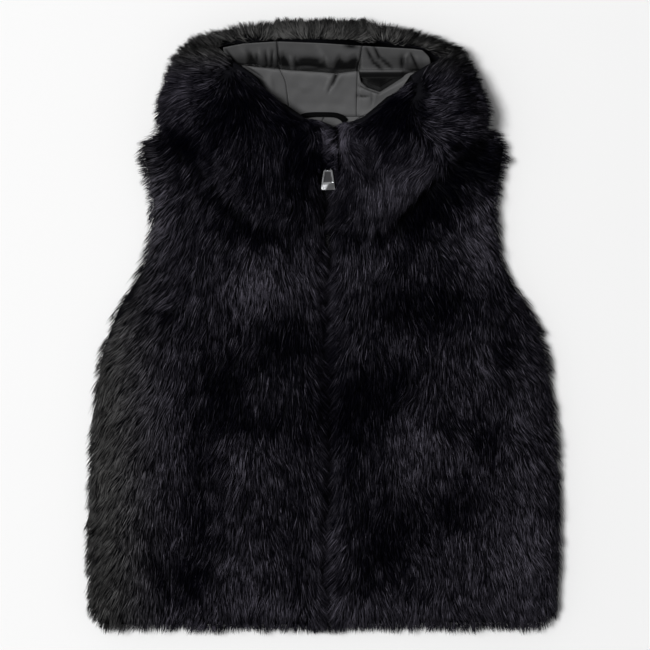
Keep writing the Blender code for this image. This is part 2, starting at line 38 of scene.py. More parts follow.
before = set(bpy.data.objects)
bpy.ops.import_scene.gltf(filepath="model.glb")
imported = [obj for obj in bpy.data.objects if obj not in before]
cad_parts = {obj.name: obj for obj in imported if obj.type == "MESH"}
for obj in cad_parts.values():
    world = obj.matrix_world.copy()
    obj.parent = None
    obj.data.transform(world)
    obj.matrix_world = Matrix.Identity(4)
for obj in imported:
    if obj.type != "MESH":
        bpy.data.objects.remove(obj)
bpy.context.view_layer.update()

# Fur
MERGE_STEP = 0.01  # CAD points that are the same when rounded to this are merged
PELT_INSET = 5.0
PELT_SHARE = 0.35  # but no more than this share of the wall
MOUTH_INSET = 8.0  # how much further in the pelt is beside the hood's mouth
MOUTH_REACH = 16.0
MOUTH_BASE = 27.0  # below this height it isn't
MOUTH_TOP = 295.0  # nor above this Y
CHIN_HALF = 22.0  # nor this near to the zip
CHIN_FADE = 12.0
STRAND_RING = 0.38  # how far along a strand its widest place is
STRAND_RADIUS = (0.24, 0.5)
STRAND_VERTS = 5
STRAND_REACH = (0.6, 1.1)  # of the panel's length of pile
STRAND_LIFT = (0.36, 0.12)  # mean and spread of its slope off the pelt
CLOSING_REACH = 19.0  # how far from the zip strands close over it
CLOSING_TURN = 3.0
CLOSING_LONGER = 0.4
FLOW_BLUR = 70.0  # of the pile's direction, in square millimetres
GROUND_GAP = 0.1
CLUMP_SIZE = 14  # strands in a clump
CLUMP_PULL = (0.15, 0.65)  # share of the way that a strand's tip is drawn to its leader's
CLUMP_SPREAD = 0.35  # share of their roots' distance that the tips keep
OPEN_REACH = 30.0  # a ray this long tells whether the pile has room
OPEN_LEAST = 0.3  # share of open rays below which nothing grows
SLOPE = 0.6  # of the normal's height: steeper places grow denser, and those facing the ground thinner
SLOPE_DENSE = 2.0
GROUND_THIN = 0.4
OPEN_RAYS = 14
GOLDEN_ANGLE = 2.399963
SAMPLE_EDGE = 9.0  # longest edge of the small triangles that roots are drawn from
PROUD = (0.5, 13.0)  # how far strands may stand out of the CAD solids
PROUD_SHARED = 0.75  # how much of that is the clump's
LAPPING = (1.0, 6.0)  # how far strands may reach over the lining's edge
LINING_BASE = 15.0  # a strand's tip above this height may hide the lining
TONE_MEAN = 0.5
# strength of the pile's patches of painted light and shade
PAINTED_SHADING_STRENGTH = 0.36
TONE_STRAND = 0.17  # spread of the tone among strands
TONE_CLUMP = 0.07  # and among clumps
PATCH_EDGE = (8, 26.0)  # how far the patches' edges wander, and its wavelength
BRIDGE_HALF_GAP = 8.5  # half the gap between the hood's rolled sides
BRIDGE_Y = (173.0, 223.0)
BRIDGE_Z = (52.5, 59.5)
LOW_TOP = 67.0  # above this height strands are pressed down
TOP_ROOM = 7.0  # and they stay this near to it
PULL_BARE = 7.0  # reach of the zip pull's arms
PULL_SWEEP = 30.5  # and of the whole of it, when it swings
PULL_SWINGS = (-4, 160)  # from below its place at rest to past its last place, in degrees
PULL_CUTS = (0.7, 0.7, 0.7, 0.6, 0.5)  # how strands in its way are shortened, time after time

# Zip
ZIP_X = 4.5
TOOTH_PITCH = 2.9
PIVOT = (4.5, 180.005, 50.365)  # of the pull, on its pin
ZIP_SLOPE = 0.2088  # of the zip at its slider, in radians
PIN_ABOVE_CHAIN = 4.8


def table(columns, rows):
    """One array for each named column, from a text of rows, parted by commas or by their lines."""
    names = columns.split()
    numbers = np.array(rows.replace(",", " ").split(), float)
    return dict(zip(names, numbers.reshape(-1, len(names)).T))


PULL_ROOM = table("away half", "0 4.6, 6 4.6, 7 6, 29 9.2")  # half the pull's width with some air

# Direction of the pile on the fronts and the back, at places on the vest
BODY_FLOW = table(
    "x y dx dy",
    """
    -192 195 -1 -0.35, -200 150 -0.8 -0.7, -192 95 -0.65 -0.8, -215 40 -0.8 -0.75, -245 -10 -0.75 -0.75
    -255 -100 -0.5 -0.9, -258 -240 -0.35 -1, -250 -325 -0.25 -1, -145 110 -0.4 -0.95, -100 60 -0.1 -1
    -160 -60 -0.35 -0.95, -150 -200 -0.12 -1, -100 0 -0.2 -1, -60 -150 0 -1, -30 60 0.05 -1, 0 -60 0 -1
    0 -200 0.05 -1, 0 -325 0 -1, 70 60 0 -1, 90 -60 -0.1 -1, 90 -170 0.1 -1, 150 110 0.35 -1, 170 20 0.05 -1
    160 -90 0.15 -1, 160 -220 0.1 -1, 192 195 1 -0.15, 200 150 0.85 -0.55, 190 95 0.55 -0.85
    213 40 0.7 -0.75, 243 -10 0.75 -0.7, 254 -100 0.5 -0.9, 258 -240 0.35 -1, 250 -325 0.3 -1
    """,
)
HOOD_FLOW = table(
    "x y dx dy",
    """
    -83 327 -0.35 1, -61 327 0.8 1, -46 327 -0.8 1, -27 333 -0.05 1, 20 333 0.15 1, 37 326 0.8 1
    53 325 -0.8 1, 85 327 0.75 0.65, 130 312 1 0.3, 152 298 1 0.2, 13 231 -0.9 0.4, 13.5 217 -1 -0.05
    14 203 -1 -0.25, 14 191 -1 -0.4, 14 179 -1 -0.3, 14 150 -0.55 -1, 14 128 -0.55 -1, -6 230 0.9 0.4
    -6 212 0.3 -0.8, -5 194 0.8 -0.5, -5 182 0.9 -0.5, -6 150 0.55 -1, -6 128 0.55 -1, -128 307 -0.8 0.7
    -156 282 -1 0.1, -174 254 -1 -0.4, -178 221 -0.85 -0.6, -139 260 -1 -0.25, -60 240 0.8 -0.6
    -86 262 0.6 -0.5, -108 240 -0.4 -0.9, -139 215 -0.75 -0.7, -120 187 -0.75 -0.7, -90 160 -0.6 -0.8
    -60 140 -0.35 -1, -30 125 -0.1 -1, -10 125 0.15 -1, -60 190 -0.2 -1, -22 190 -0.6 -0.6
    -16 215 -0.8 -0.3, -10 229 0.2 -0.6, 20 226 0.5 -0.5, 24 205 0.95 -0.2, 32 190 0.75 -0.65
    25 160 -0.1 -1, 50 150 -0.05 -1, 48 118 -0.1 -1, 78 138 -0.25 -1, 105 162 -0.4 -0.9, 113 185 -0.5 -0.85
    95 205 -0.5 -0.7, 62 215 -0.5 -0.6, 50 240 -0.8 -0.5, 84 268 -0.8 -0.5, 122 230 0.6 0.1, 130 262 0.5 0.9
    156 250 0.95 0.3, 152 224 1 -0.15, 146 203 0.75 -0.7, 172 264 1 0.1, 178 225 1 -0.2, 165 200 0.9 -0.6
    """,
)

# Where the pile is grown denser, to close over the zip and at the chin
DENSE = table(
    "x y along across turn rise",
    """
    4.5 -100 15 320 0 3.5, 4.5 185 16 40 0 5, 4.5 135 14 20 0 4, -115 300 16 14 0 2, 0 316 110 5 0 2
    """,
)

# The part of the hood's lining that the pile leaves bare: its lowest and highest Y at each X
LINING_SHOWN = table(
    "x low high",
    """
    -116 299 300, -101 287 311, -94 277 313, -82 259.5 315, -67 253.5 316, -52 246 316.8, -41 239.5 316.5
    -30 232 316, -15 231 315.5, 10 231 314, 32 230 313, 39 230 312.6, 51 236.5 312, 62.5 244 311.5
    77 254.5 310.3, 90 266 309.3, 100 278 308.5, 110 283 306, 116 291 304.5, 118.5 303 303
    """,
)

# Painted light and shade of the pile, lighter patches on its lit ridges and darker ones in its valleys:
# place, reach along and across, turn and strength
BODY_PAINTED_SHADING = table(
    "x y along across turn rise",
    """
    -167 198 22 16 0 -1.5, -120 158 56 20 -50 -1.5, -90 122 36 26 -40 -1.3, -62 96 28 12 0 -0.9
    164 178 34 28 0 -1.4, 137 150 46 26 45 -1.4, 107 114 34 20 35 -1.3, 63 95 28 9 0 -0.8, 18 108 17 22 0 -1
    -44 -26 40 28 0 -1.1, -114 -70 26 38 0 -1.3, -62 -112 60 14 0 -1, 42 -92 44 42 0 -1.25
    82 -64 20 16 0 -0.6, 119 19 62 23 0 -1.2, -178 6 24 12 0 -0.5, 203 -38 13 34 0 -0.9
    178 -129 12 15 0 -0.9, -139 -194 15 75 0 -0.8, -151 -283 32 20 0 -0.9, 149 -207 25 19 0 -1
    68 -244 34 48 0 -1.1, 30 -165 14 40 0 -0.6, -27 -294 12 12 0 -0.6, 130 -117 38 10 0 -0.5
    86 54 12 11 0 -0.5, -30 -200 16 50 0 -0.3, -236 -150 32 190 0 1.05, -196 -60 24 60 0 0.3
    -72 36 32 38 0 0.95, 105 -138 36 40 0 0.75, 50 62 30 24 0 0.4, -74 -166 44 28 0 0.4
    222 -82 20 60 0 0.45, 231 -238 28 95 0 0.65, -94 -278 30 32 0 0.55, 2 -240 26 22 0 0.45
    186 -272 60 30 0 0.5, -184 115 14 52 0 1.1, -178 -150 26 80 0 0.45, 180 -50 16 22 0 0.55
    176 116 12 40 0 0.5, 177 82 16 46 0 0.8, -16 64 18 26 0 0.3, 23 -318 230 14 0 0.6
    """,
)
HOOD_PAINTED_SHADING = table(
    "x y along across turn rise",
    """
    -88 236 50 34 0 -1.25, -27 209 20 32 0 -1, 80 231 42 36 0 -1.3, -23 160 18 36 0 -1.2
    24 124 12 20 0 -0.8, -166 204 18 14 0 -1.2, 165 190 22 16 0 -1, 163 265 16 38 0 -0.5
    -114 175 34 8 -42 0.4, -72 152 36 24 -40 -0.8, -150 192 28 18 -45 -1.3, 64 222 20 24 0 -0.6
    -120 205 30 12 -50 -0.6, 72 146 46 22 42 0.7, 132 237 14 40 0 0.6, 9 206 26 22 0 1.05
    -163 249 16 30 0 0.25, -130 300 40 20 0 0.1, -43 328 62 14 0 1.1, 60 326 45 14 0 0.85
    -55 135 30 16 0 0.25, 22 172 12 20 0 -0.3, -5 182 12 14 0 -1
    """,
)

# Section of the hood's lining, from the neck to the rim: up the lower band, back under its folded top edge
# and up again as the upper band. rise lifts the outer edges, follow is how much of the rim's slant a row
# takes, sag how much of the folded edge's, left and right are the outer edges, and the last column is the
# painted shade that darkens the cloth where it lies in shadow
LINING = table(
    "y z rise follow sag left right deep",
    """
    235.2 15.4 7 0 0 -47 52 0
    248 17 7 0 0 -58 74 0
    262 20.5 7 0.1 0.2 -72 92 0
    275 25 7 0.3 0.6 -86 106 0
    282 27.6 7 0.5 1 -97 116 0
    285.4 27.7 7 0.5 1 -101 119 0
    286.6 26.2 7 0.5 1 -102 120 0.1
    284 23.6 7 0.5 1 -99 118 0.8
    278 21.4 7 0.5 0.8 -92 110 1
    271 20 7 0.5 0.5 -84 102 1
    268.8 18.4 7 0.5 0.3 -82 100 1
    270.5 16.6 7 0.5 0.3 -84 102 1
    277 15.6 7 0.5 0.5 -90 107 1
    285.5 15.4 6.5 0.6 0.9 -98 114 1
    290 18.5 5.5 0.7 0.7 -105 118 0.85
    296 25 4.5 0.8 0.3 -107 118 0.6
    303 29 4 0.9 0 -109 118 0.38
    309 32 3 1 0 -111 116 0.26
    314.4 35.5 2 1 0 -112 109 0.24
    """,
)
FINE_ROWS = 4  # of the mesh, from one row of the section to the next
FOLD_ROW = 5  # the section's row at the folded edge
UPPER_ROWS = 12.5  # the section's rows from here on are the upper band
RIM_SLANT = table("x y", "-117 -5.5, -90 0, -52 2.5, 0 0.5, 43 -2.5, 100 -6, 130 -11")
FOLD_SAG = table("x y", "-104 4, -90 3.5, -55 -1, -37 -2.5, -2 -4, 13 -5, 35 -1.5, 96 -1.5")
LINING_SEAM_LEFT = table("y x", "235 -39, 252 -39.8, 274 -43, 288 -50, 314 -52.5")
LINING_SEAM_RIGHT = table("y x", "235 36, 287 37, 314 42.5")
LINING_GAP = 0.5
LINING_WALL = 1.0
BEHIND_ROW = 13  # the section's row at the foot of the upper band
GAP_SHOWN = 3.8  # how far over the folded edge the cloth behind it is in its shadow
GAP_EDGE = 1.5
SHADE_TALLER = 1.4  # the full shade of the gap reaches up to this many times its climb
SHADE_OVER = 2.0  # and this much higher
SHADE_FADE = 6.5
SHADE_SINKS = 5.0  # how much lower the shaded cloth is at most
LINING_CREASES = (0.25, 16.0)  # height and wavelength of its faint creases
STITCH_LENGTH = 1.7
STITCH_GAP = 1.1
STITCH_HALF = 0.24

# The right panel's folded edge dips here and shows the hollow behind it, up to its far edge. The hollow's
# rows are those of the section from the folded edge on, with Y from the lip below 7 and from the far edge
# after it
DIP = table("x down", "38.4 0, 40.5 11, 48 18.5, 62.5 23.5, 79 13, 97 1.5, 99 0")
DIP_BLEND = 8.0
DIP_LOWERED = 0.2  # share of the dip that the lip comes down by
# The hollow's last column is painted shade that darkens the cloth inside it
HOLLOW = table(
    "y z deep",
    """
    0 23.2 0
    0.7 21.8 0.4
    -1.5 19.8 1
    -3 17 1
    -1 15 1
    3.5 15.2 1
    8.5 16.8 1
    -5.5 21.5 1
    -1 26 0.95
    1.2 26.9 0
    """,
)
HOLLOW_LIP_ROWS = 7
HOLLOW_LAST_ROW = 16  # of the section
HOLLOW_FAR_EDGE = 285.3

# How far the dark of the folded edge's gap climbs the upper band, and the folds pressed into the bands: from
# one place to another, with their width, rise and shade
GAP_CLIMB = table(
    "x tall",
    """
    -104 0.5, -87 1, -81 7.5, -77 5, -74 1, -54 1.5, -49.5 8.5, -44.5 10.5, -40 7, -37.5 3, -34.5 3.5
    -31.5 7.5, -27 5, -23 5, -8 5, -4 6, 1 8, 4.5 3.5, 10.5 3, 13.9 8, 17.7 10, 22.5 7, 26.5 6.5, 31 8
    36 8.5, 40 4, 43 0, 130 0
    """,
)
UPPER_FOLDS = table(
    "x0 y0 x1 y1 wide rise shade",
    """
    -92 309 -80 298 3.2 1.8 -0.2, -85 306 -79 291 3.2 -2.2 0.65, -75 303 -75 290 1.7 -1.6 0.55
    -71 309 -68 291 2.2 1.8 0, -65 307 -64 292 1.6 -1.6 0.5, -61 309 -60 293 1.6 1.4 0
    -57 308 -59 290 1.5 -1.6 0.55, -109 308 -95.5 291 1.4 -1.6 0.9, -37 300 -34 288 2 1.8 -0.3
    -26 296 -8 296 3.6 -2.2 0.95, -24 291 -9 290.5 2.4 1.6 -0.3, -6 310 8 289 4 2.4 -0.2
    27 300 30 292 3 1.2 0, 47.5 309 55 295 1.8 -2.2 0.75, 55 295 65 286.5 1.9 -2 0.7
    51.5 306 60 292 2 1.3 0, 56 311 61 301 1.8 -2.2 0.75, 61 301 76 288 1.9 -1.9 0.6
    66 300 78 290 2.5 1.2 0, 87 287 87 301 3 -1.6 0.5, 91 289 91 299 1.8 1.6 0, 91 299 96 305 1.8 1.2 0
    96.5 304 102 292.5 1.4 -2 0.7, 102 292.5 106 286 1.4 -1.6 0.6, 104 300 109 289 2 1.2 0
    24 313 36 312 3 -1 0.9, 58 297 98 294 9 0 0.25, -52 317 -50.5 289 1.3 -1.8 0.8
    42 314 39 287 1.2 -1.6 0.6
    """,
)
LOWER_FOLDS = table(
    "x0 y0 x1 y1 wide rise shade",
    """
    18 292 10 271 2.2 -3.2 1.2, 10.5 273 4.5 263 1.2 -2.2 0.65, 9.5 281 1.5 262 2.4 1.4 0
    20 281 7 261 3.2 1.4 0, -94 292 -81 283 1.1 1.8 0, -81 283 -66 276 1.1 1.6 0
    -88 291 -68 278 1.1 -2.6 0.95, -71 273 -66 262 2.4 -1.8 0.55, -60 279 -58 262 3 1.4 0
    -47 284 -41.5 268 0.7 -0.9 0.35, -37 269 -20 262 2.6 -0.9 0.12, -32 261 -13 269 2.6 0.9 0
    -30 251 20 250 4 -0.9 0.1, 37.6 284 38 262 0.9 1.2 0, 36.3 258 50 256.6 1.2 -2.2 0.95
    53 260 54 248 1.1 -1.6 0.4, 58 262 57 250 1.6 1.2 0, 37 270 46 265 1 -1.6 0.85
    46 265 62 259.5 1 -1.6 0.85, -42.5 270 -39.5 240 0.8 -1 0.35, 36.8 284 36.2 240 0.7 -0.8 0.35
    """,
)

NECK_FACING = (-44.0, 50.0, 221.0, 234.8)  # left, right, lower and upper edge
FACING_Z = 14.7
LOOP_ROUTE = table(
    "x y z size",
    """
    -28 231.5 17.4 0.7
    -26.5 234 18.6 0.8
    -22 235.7 19.2 0.95
    -12 236.7 19.5 1
    4 236.7 19.6 1
    13 235.9 19.5 1.05
    20 233.1 19 1.2
    24 229 17.6 1.25
    """,
)
LOOP_HALF_WIDTH = 2.75
LOOP_HALF_THICK = 1.1

# Course of the zip, from the hem up to the chin
ZIP = table("y z", "-332 15.6, 20 15.6, 60 15.7, 95 16.2, 112 18.8, 130 28.5, 150 39.1, 171 43.55, 192 48")
TAPE_INNER = 3.3
TAPE_OUTER = 7.7
TAPE_HALF = 0.3  # half its thickness
TAPE_BEAD = 0.35  # and how much the bead adds
TEETH_TOP = 178.0
TOOTH_OUTLINE = np.array([(-0.6, -0.55), (1.2, -1.1), (3.1, -0.8), (3.1, 0.8), (1.2, 1.1), (-0.6, 0.55)])
TOOTH_LAYERS = ((-1.3, 0.8), (-0.9, 1.0), (0.9, 1.0), (1.3, 0.8))  # height, and share of the outline

# The slider and the pull, along the zip from the slider's middle and from the pull's pin
SLIDER_OUTLINE = table("along half", "-5 3.3, -4.4 3.9, -1 4.2, 3.5 5.1, 4.6 4.9, 5 4.3")
SLIDER_PLATE = (1.7, 2.9)  # inner and outer face of a plate
ARCH_RADIUS = 3.7
PULL_OUTLINE = table("along half", "-29 7.3, -28.5 8, -27.8 8.2, -6.9 5, -6.3 4.5")
PULL_THICK = 0.9  # half of it
PULL_WINDOW = (-20.4, -8.2)  # ends of the sunk panel
PULL_FACETS = -21.4  # the slanting faces begin here
ARM_X = 3.15
PIN_RADIUS = 0.85


class Wire:
    """An output socket of a material. Arithmetic on it adds Math nodes."""

    def __init__(self, finish, socket):
        self.finish = finish
        self.socket = socket

    def __add__(self, other):
        return self.finish.math("ADD", self, other)

    def __sub__(self, other):
        return self.finish.math("SUBTRACT", self, other)

    def __rsub__(self, other):
        return self.finish.math("SUBTRACT", other, self)

    def __mul__(self, other):
        return self.finish.math("MULTIPLY", self, other)

    def smooth(self, low, high):
        """0 below low and 1 above high, with a smooth step between."""
        span = {"interpolation_type": "SMOOTHSTEP"}
        return self.finish.node("ShaderNodeMapRange", span, {0: self, 1: low, 2: high, 3: 0.0, 4: 1.0})


class Finish:
    """A material with one Principled shader, whose sockets are set by name."""

    def __init__(self, name, colour, roughness, **sockets):
        self.material = bpy.data.materials.new(name)
        self.material.use_nodes = True
        self.tree = self.material.node_tree
        self.shader = self.tree.nodes["Principled BSDF"]
        self.set("Base Color", (*colour, 1.0))
        self.set("Roughness", roughness)
        for key, value in sockets.items():
            self.set(key.replace("_", " "), value)

    def set(self, name, value):
        self.put(self.shader.inputs[name], value)

    def put(self, socket, value):
        """Links a wire to a socket, or sets the socket's own value."""
        if isinstance(value, Wire):
            self.tree.links.new(value.socket, socket)
        else:
            socket.default_value = value

    def node(self, kind, settings=None, inputs=None, output=0):
        """Adds a node: its settings first, a ramp's stops among them, and then its sockets."""
        made = self.tree.nodes.new(kind)
        for key, value in (settings or {}).items():
            if key == "stops":
                elements = made.color_ramp.elements
                elements.remove(elements[-1])
                for place, colour in value[1:]:
                    elements.new(place).color = (*colour, 1.0)
                elements[0].position, elements[0].color = value[0][0], (*value[0][1], 1.0)
            else:
                setattr(made, key, value)
        for key, value in (inputs or {}).items():
            self.put(made.inputs[key], value)
        return Wire(self, made.outputs[output])

    def math(self, operation, *values):
        return self.node("ShaderNodeMath", {"operation": operation}, dict(enumerate(values)))

    def ripple(self, angle):
        """A sine wave moved up to lie from 0 to 1."""
        return self.math("SINE", angle) * 0.5 + 0.5

    def place(self):
        """The point in the object's own frame, in metres."""
        return self.node("ShaderNodeTexCoord", output="Object")

    def axes(self, vector):
        """The three numbers of a vector."""
        return [self.node("ShaderNodeSeparateXYZ", None, {0: vector}, i) for i in range(3)]

    def noise(self, vector, scale, detail=2.0):
        return self.node("ShaderNodeTexNoise", None, {"Vector": vector, "Scale": scale, "Detail": detail})

    def mix(self, factor, first, second, blend="MIX"):
        """A colour between two colours, or one multiplied by the other."""
        colours = {0: factor, 6: first, 7: second}
        return self.node("ShaderNodeMix", {"data_type": "RGBA", "blend_type": blend}, colours, 2)

    def bump(self, height, distance, strength=1.0):
        """Raises the surface by a height of 0 to 1 times the distance in metres."""
        sockets = {"Height": height, "Distance": distance, "Strength": strength}
        self.set("Normal", self.node("ShaderNodeBump", None, sockets))


def rgb(*values):
    return (*values, 1.0)


# ---- finishes


def fur_finish():
    """Pile: near black at the root, as painted shade low in the pile, and towards the tip the strand's tone,
    which its UV's v holds.

    The body's pile is faintly blue, most so in its darkest strands. At the left edge and the hood's rim it
    is left plain, as painted light from the white backdrop showing through the pile.
    """
    fur = Finish("black_pile", (0.01, 0.01, 0.012), 0.42, Specular_IOR_Level=0.015)
    u, v, _ = fur.axes(fur.node("ShaderNodeUVMap", {"uv_map": "OFBake"}))
    stops = (
        (0.0, (0.0004, 0.0004, 0.0004)),
        (0.25, (0.0036, 0.0036, 0.0036)),
        (0.5, (0.0195, 0.0192, 0.019)),
        (0.75, (0.064, 0.0634, 0.0628)),
        (1.0, (0.145, 0.143, 0.14)),
    )
    tone = fur.node("ShaderNodeValToRGB", {"stops": stops}, {0: v})
    x, y, _ = fur.axes(fur.place())
    # Painted light: at the left edge and the hood's rim the pile's own blue tint is left out, for backdrop
    # light through the pile
    blue = x.smooth(-0.25, -0.16) * (1 - y.smooth(0.27, 0.31))
    tinted = fur.mix(1.0, fur.mix(1.0, tone, rgb(0.95, 0.90, 1.15), "MULTIPLY"), rgb(0.0, 0.0, 0.0018), "ADD")
    tone = fur.mix(blue, tone, tinted)
    # Painted shade low in the pile: each strand is near black at its root and takes its tone towards the tip
    fur.set("Base Color", fur.mix(u.smooth(0.05, 0.6), rgb(0.0008, 0.0008, 0.0018), tone))
    return fur.material


def pelt_finish():
    """The dense short pile and backing under the strands."""
    pelt = Finish("black_pelt", (0.002, 0.002, 0.0025), 0.85, Specular_IOR_Level=0.1)
    fine = pelt.noise(pelt.place(), 900.0)
    pelt.set("Base Color", pelt.mix(fine, rgb(0.001, 0.001, 0.002), rgb(0.004, 0.004, 0.006)))
    pelt.bump(fine, 0.0006)
    return pelt.material


def satin_finish():
    """Grey lining satin: fine diagonal weave, soft cloudy tone, a broad gloss, and painted shade in its folds
    and hollows.
    """
    satin = Finish("grey_satin_cloth", (0.085, 0.085, 0.087), 0.38, Specular_IOR_Level=0.16)
    satin.set("Sheen Weight", 0.06)
    place = satin.place()
    x, y, _ = satin.axes(place)
    weave = satin.ripple((x + y) * 9000.0)
    cross = satin.ripple((x - y) * 5200.0)
    cloudy = satin.noise(place, 45.0, 3.0)
    tone = weave * 0.15 + cloudy * 0.7 + cross * 0.15
    # Painted shade of the folds and hollows, from a point attribute, darkens the cloth to near black
    deep = satin.node("ShaderNodeAttribute", {"attribute_name": "deep"}, output="Fac")
    cloth = satin.mix(tone, rgb(0.074, 0.074, 0.075), rgb(0.108, 0.108, 0.110))
    satin.set("Base Color", satin.mix(deep, cloth, rgb(0.002, 0.002, 0.0022)))
    satin.set("Roughness", cloudy * 0.14 + 0.34)
    satin.bump(weave * 0.4 + cloudy * 0.6, 0.0002)
    return satin.material


def cord_finish():
    """Braided black cord: short strands slanting both ways across it."""
    cord = Finish("black_braid", (0.002, 0.002, 0.002), 0.6, Specular_IOR_Level=0.03)
    x, y, _ = cord.axes(cord.place())
    braid = cord.math("MAXIMUM", cord.ripple((x + y) * 2800.0), cord.ripple((x - y) * 2800.0))
    cord.set("Base Color", cord.mix(braid, rgb(0.0006, 0.0006, 0.0006), rgb(0.0025, 0.0025, 0.0028)))
    cord.bump(braid, 0.0003)
    return cord.material


def tape_finish():
    """Woven zip tape with its fine ribs along the zip."""
    tape = Finish("black_tape_weave", (0.003, 0.003, 0.0033), 0.8, Specular_IOR_Level=0.05)
    x, y, _ = tape.axes(tape.place())
    ribs = tape.ripple(x * 7800.0)
    picks = tape.ripple(y * 6200.0)
    weave = ribs * 0.6 + picks * 0.4
    tape.set("Base Color", tape.mix(weave, rgb(0.0015, 0.0015, 0.0018), rgb(0.005, 0.005, 0.0055)))
    tape.bump(weave, 0.0002)
    return tape.material


def tooth_finish():
    """Moulded teeth: dull black plastic with a faint wear gloss."""
    tooth = Finish("black_moulding", (0.004, 0.004, 0.0045), 0.4, Specular_IOR_Level=0.15)
    wear_and_skipped_root_shade = tooth.noise(tooth.place(), 320.0)
    tooth.set("Roughness", wear_and_skipped_root_shade * 0.25 + 0.28)
    tooth.set("Base Color", tooth.mix(wear_and_skipped_root_shade, rgb(0.003, 0.003, 0.0035), rgb(0.007, 0.007, 0.0075)))
    return tooth.material


def metal_finish():
    """Polished silver plating with fine rub marks, and painted dark reflections that a point attribute gives.
    """
    metal = Finish("polished_plating", (0.78, 0.79, 0.81), 0.14, Metallic=1.0)
    place = metal.place()
    cloud = metal.noise(place, 260.0, 3.0)
    stretched = metal.node("ShaderNodeMapping", None, {0: place, 3: (3200.0, 160.0, 400.0)})
    marks = metal.noise(stretched, 1.0, 1.0)
    metal.set("Roughness", cloud * 0.12 + marks * 0.1 + 0.05)
    # Painted dark reflections, from a point attribute, darken the bright plating
    deep = metal.node("ShaderNodeAttribute", {"attribute_name": "deep"}, output="Fac")
    bright = metal.mix(cloud, rgb(0.68, 0.69, 0.72), rgb(0.86, 0.87, 0.89))
    metal.set("Base Color", metal.mix(deep, bright, rgb(0.07, 0.07, 0.075)))
    metal.bump(marks, 0.00002)
    return metal.material


# ---- meshes


def new_piece(name, points, faces, finish, uv=None, smooth=True):
    """An object from points in millimetres and triangles or quads, all faces of one size."""
    mesh = bpy.data.meshes.new(name)
    count, corners = faces.shape
    mesh.vertices.add(len(points))
    mesh.vertices.foreach_set("co", (np.asarray(points) * MM).astype(np.float32).ravel())
    mesh.loops.add(count * corners)
    mesh.loops.foreach_set("vertex_index", faces.astype(np.int32).ravel())
    mesh.polygons.add(count)
    mesh.polygons.foreach_set("loop_start", np.arange(count, dtype=np.int32) * corners)
    mesh.polygons.foreach_set("use_smooth", np.full(count, smooth))
    if uv is not None:
        layer = mesh.uv_layers.new(name="OFBake")
        layer.data.foreach_set("uv", uv.astype(np.float32).ravel())
    mesh.update(calc_edges=True)
    mesh.validate()
    mesh.materials.append(finish)
    piece = bpy.data.objects.new(name, mesh)
    bpy.context.scene.collection.objects.link(piece)
    return piece


def crossed(corner):
    """Each triangle's normal, twice as long as its area."""
    return np.cross(corner[:, 1] - corner[:, 0], corner[:, 2] - corner[:, 0])


def repeated(pattern, count, step):
    """The faces of a small mesh, and those of its copies, each numbered a step on."""
    faces = pattern[None] + (np.arange(count) * step)[:, None, None]
    return faces.reshape(-1, pattern.shape[1])


def look_up(rows, at, places="x", values="y"):
    """A table's values between its places."""
    return np.interp(at, rows[places], rows[values])


def unit(vectors):
    """Vectors made one long."""
    return vectors / np.maximum(np.linalg.norm(vectors, axis=-1, keepdims=True), 1e-9)


def bells(rows, x, y):
    """Sum of bell shapes: each falls off with the square of the distance along and across its turn."""
    total = np.zeros_like(x)
    for bx, by, along, across, turn, rise in zip(*rows.values()):
        angle = math.radians(turn)
        a = (x - bx) * math.cos(angle) + (y - by) * math.sin(angle)
        b = (y - by) * math.cos(angle) - (x - bx) * math.sin(angle)
        total += rise * np.exp(-((a / along) ** 2) - (b / across) ** 2)
    return total


def waves(x, y, length, rng):
    """Soft noise from -1 to 1: a sum of sine waves with random directions, near one wavelength."""
    total = np.zeros_like(x)
    for _ in range(7):
        turn, phase = rng.uniform(0, 2 * math.pi, 2)
        number = 2 * math.pi / (length * rng.uniform(0.7, 1.4))
        total += np.sin(number * (x * math.cos(turn) + y * math.sin(turn)) + phase)
    return total / 3.2


def solid_mesh(name):
    """A CAD node's points in millimetres, its triangles and its points' normals, doubled points merged."""
    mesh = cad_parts[name].data
    mesh.calc_loop_triangles()
    points = np.empty(len(mesh.vertices) * 3, np.float32)
    mesh.vertices.foreach_get("co", points)
    faces = np.empty(len(mesh.loop_triangles) * 3, np.int32)
    mesh.loop_triangles.foreach_get("vertices", faces)
    steps = np.round(points.reshape(-1, 3) / (MERGE_STEP * MM)).astype(np.int64)
    steps, number = np.unique(steps, axis=0, return_inverse=True)
    faces = number.reshape(-1)[faces].reshape(-1, 3)
    distinct = (faces[:, 0] != faces[:, 1]) & (faces[:, 1] != faces[:, 2]) & (faces[:, 2] != faces[:, 0])
    points, faces = steps * MERGE_STEP, faces[distinct]
    across = crossed(points[faces])
    normals = np.zeros_like(points)
    for k in range(3):
        np.add.at(normals, faces[:, k], across)
    return points, faces, unit(normals)


def joined(*solids):
    """Several solids' points and faces as one."""
    points, faces, start = [], [], 0
    for solid_points, solid_faces in solids:
        points.append(solid_points)
        faces.append(solid_faces + start)
        start += len(solid_points)
    return np.concatenate(points), np.concatenate(faces)


def tree_of(points, faces):
    """A ray-casting tree of a mesh."""
    return BVHTree.FromPolygons(points.tolist(), faces.tolist())


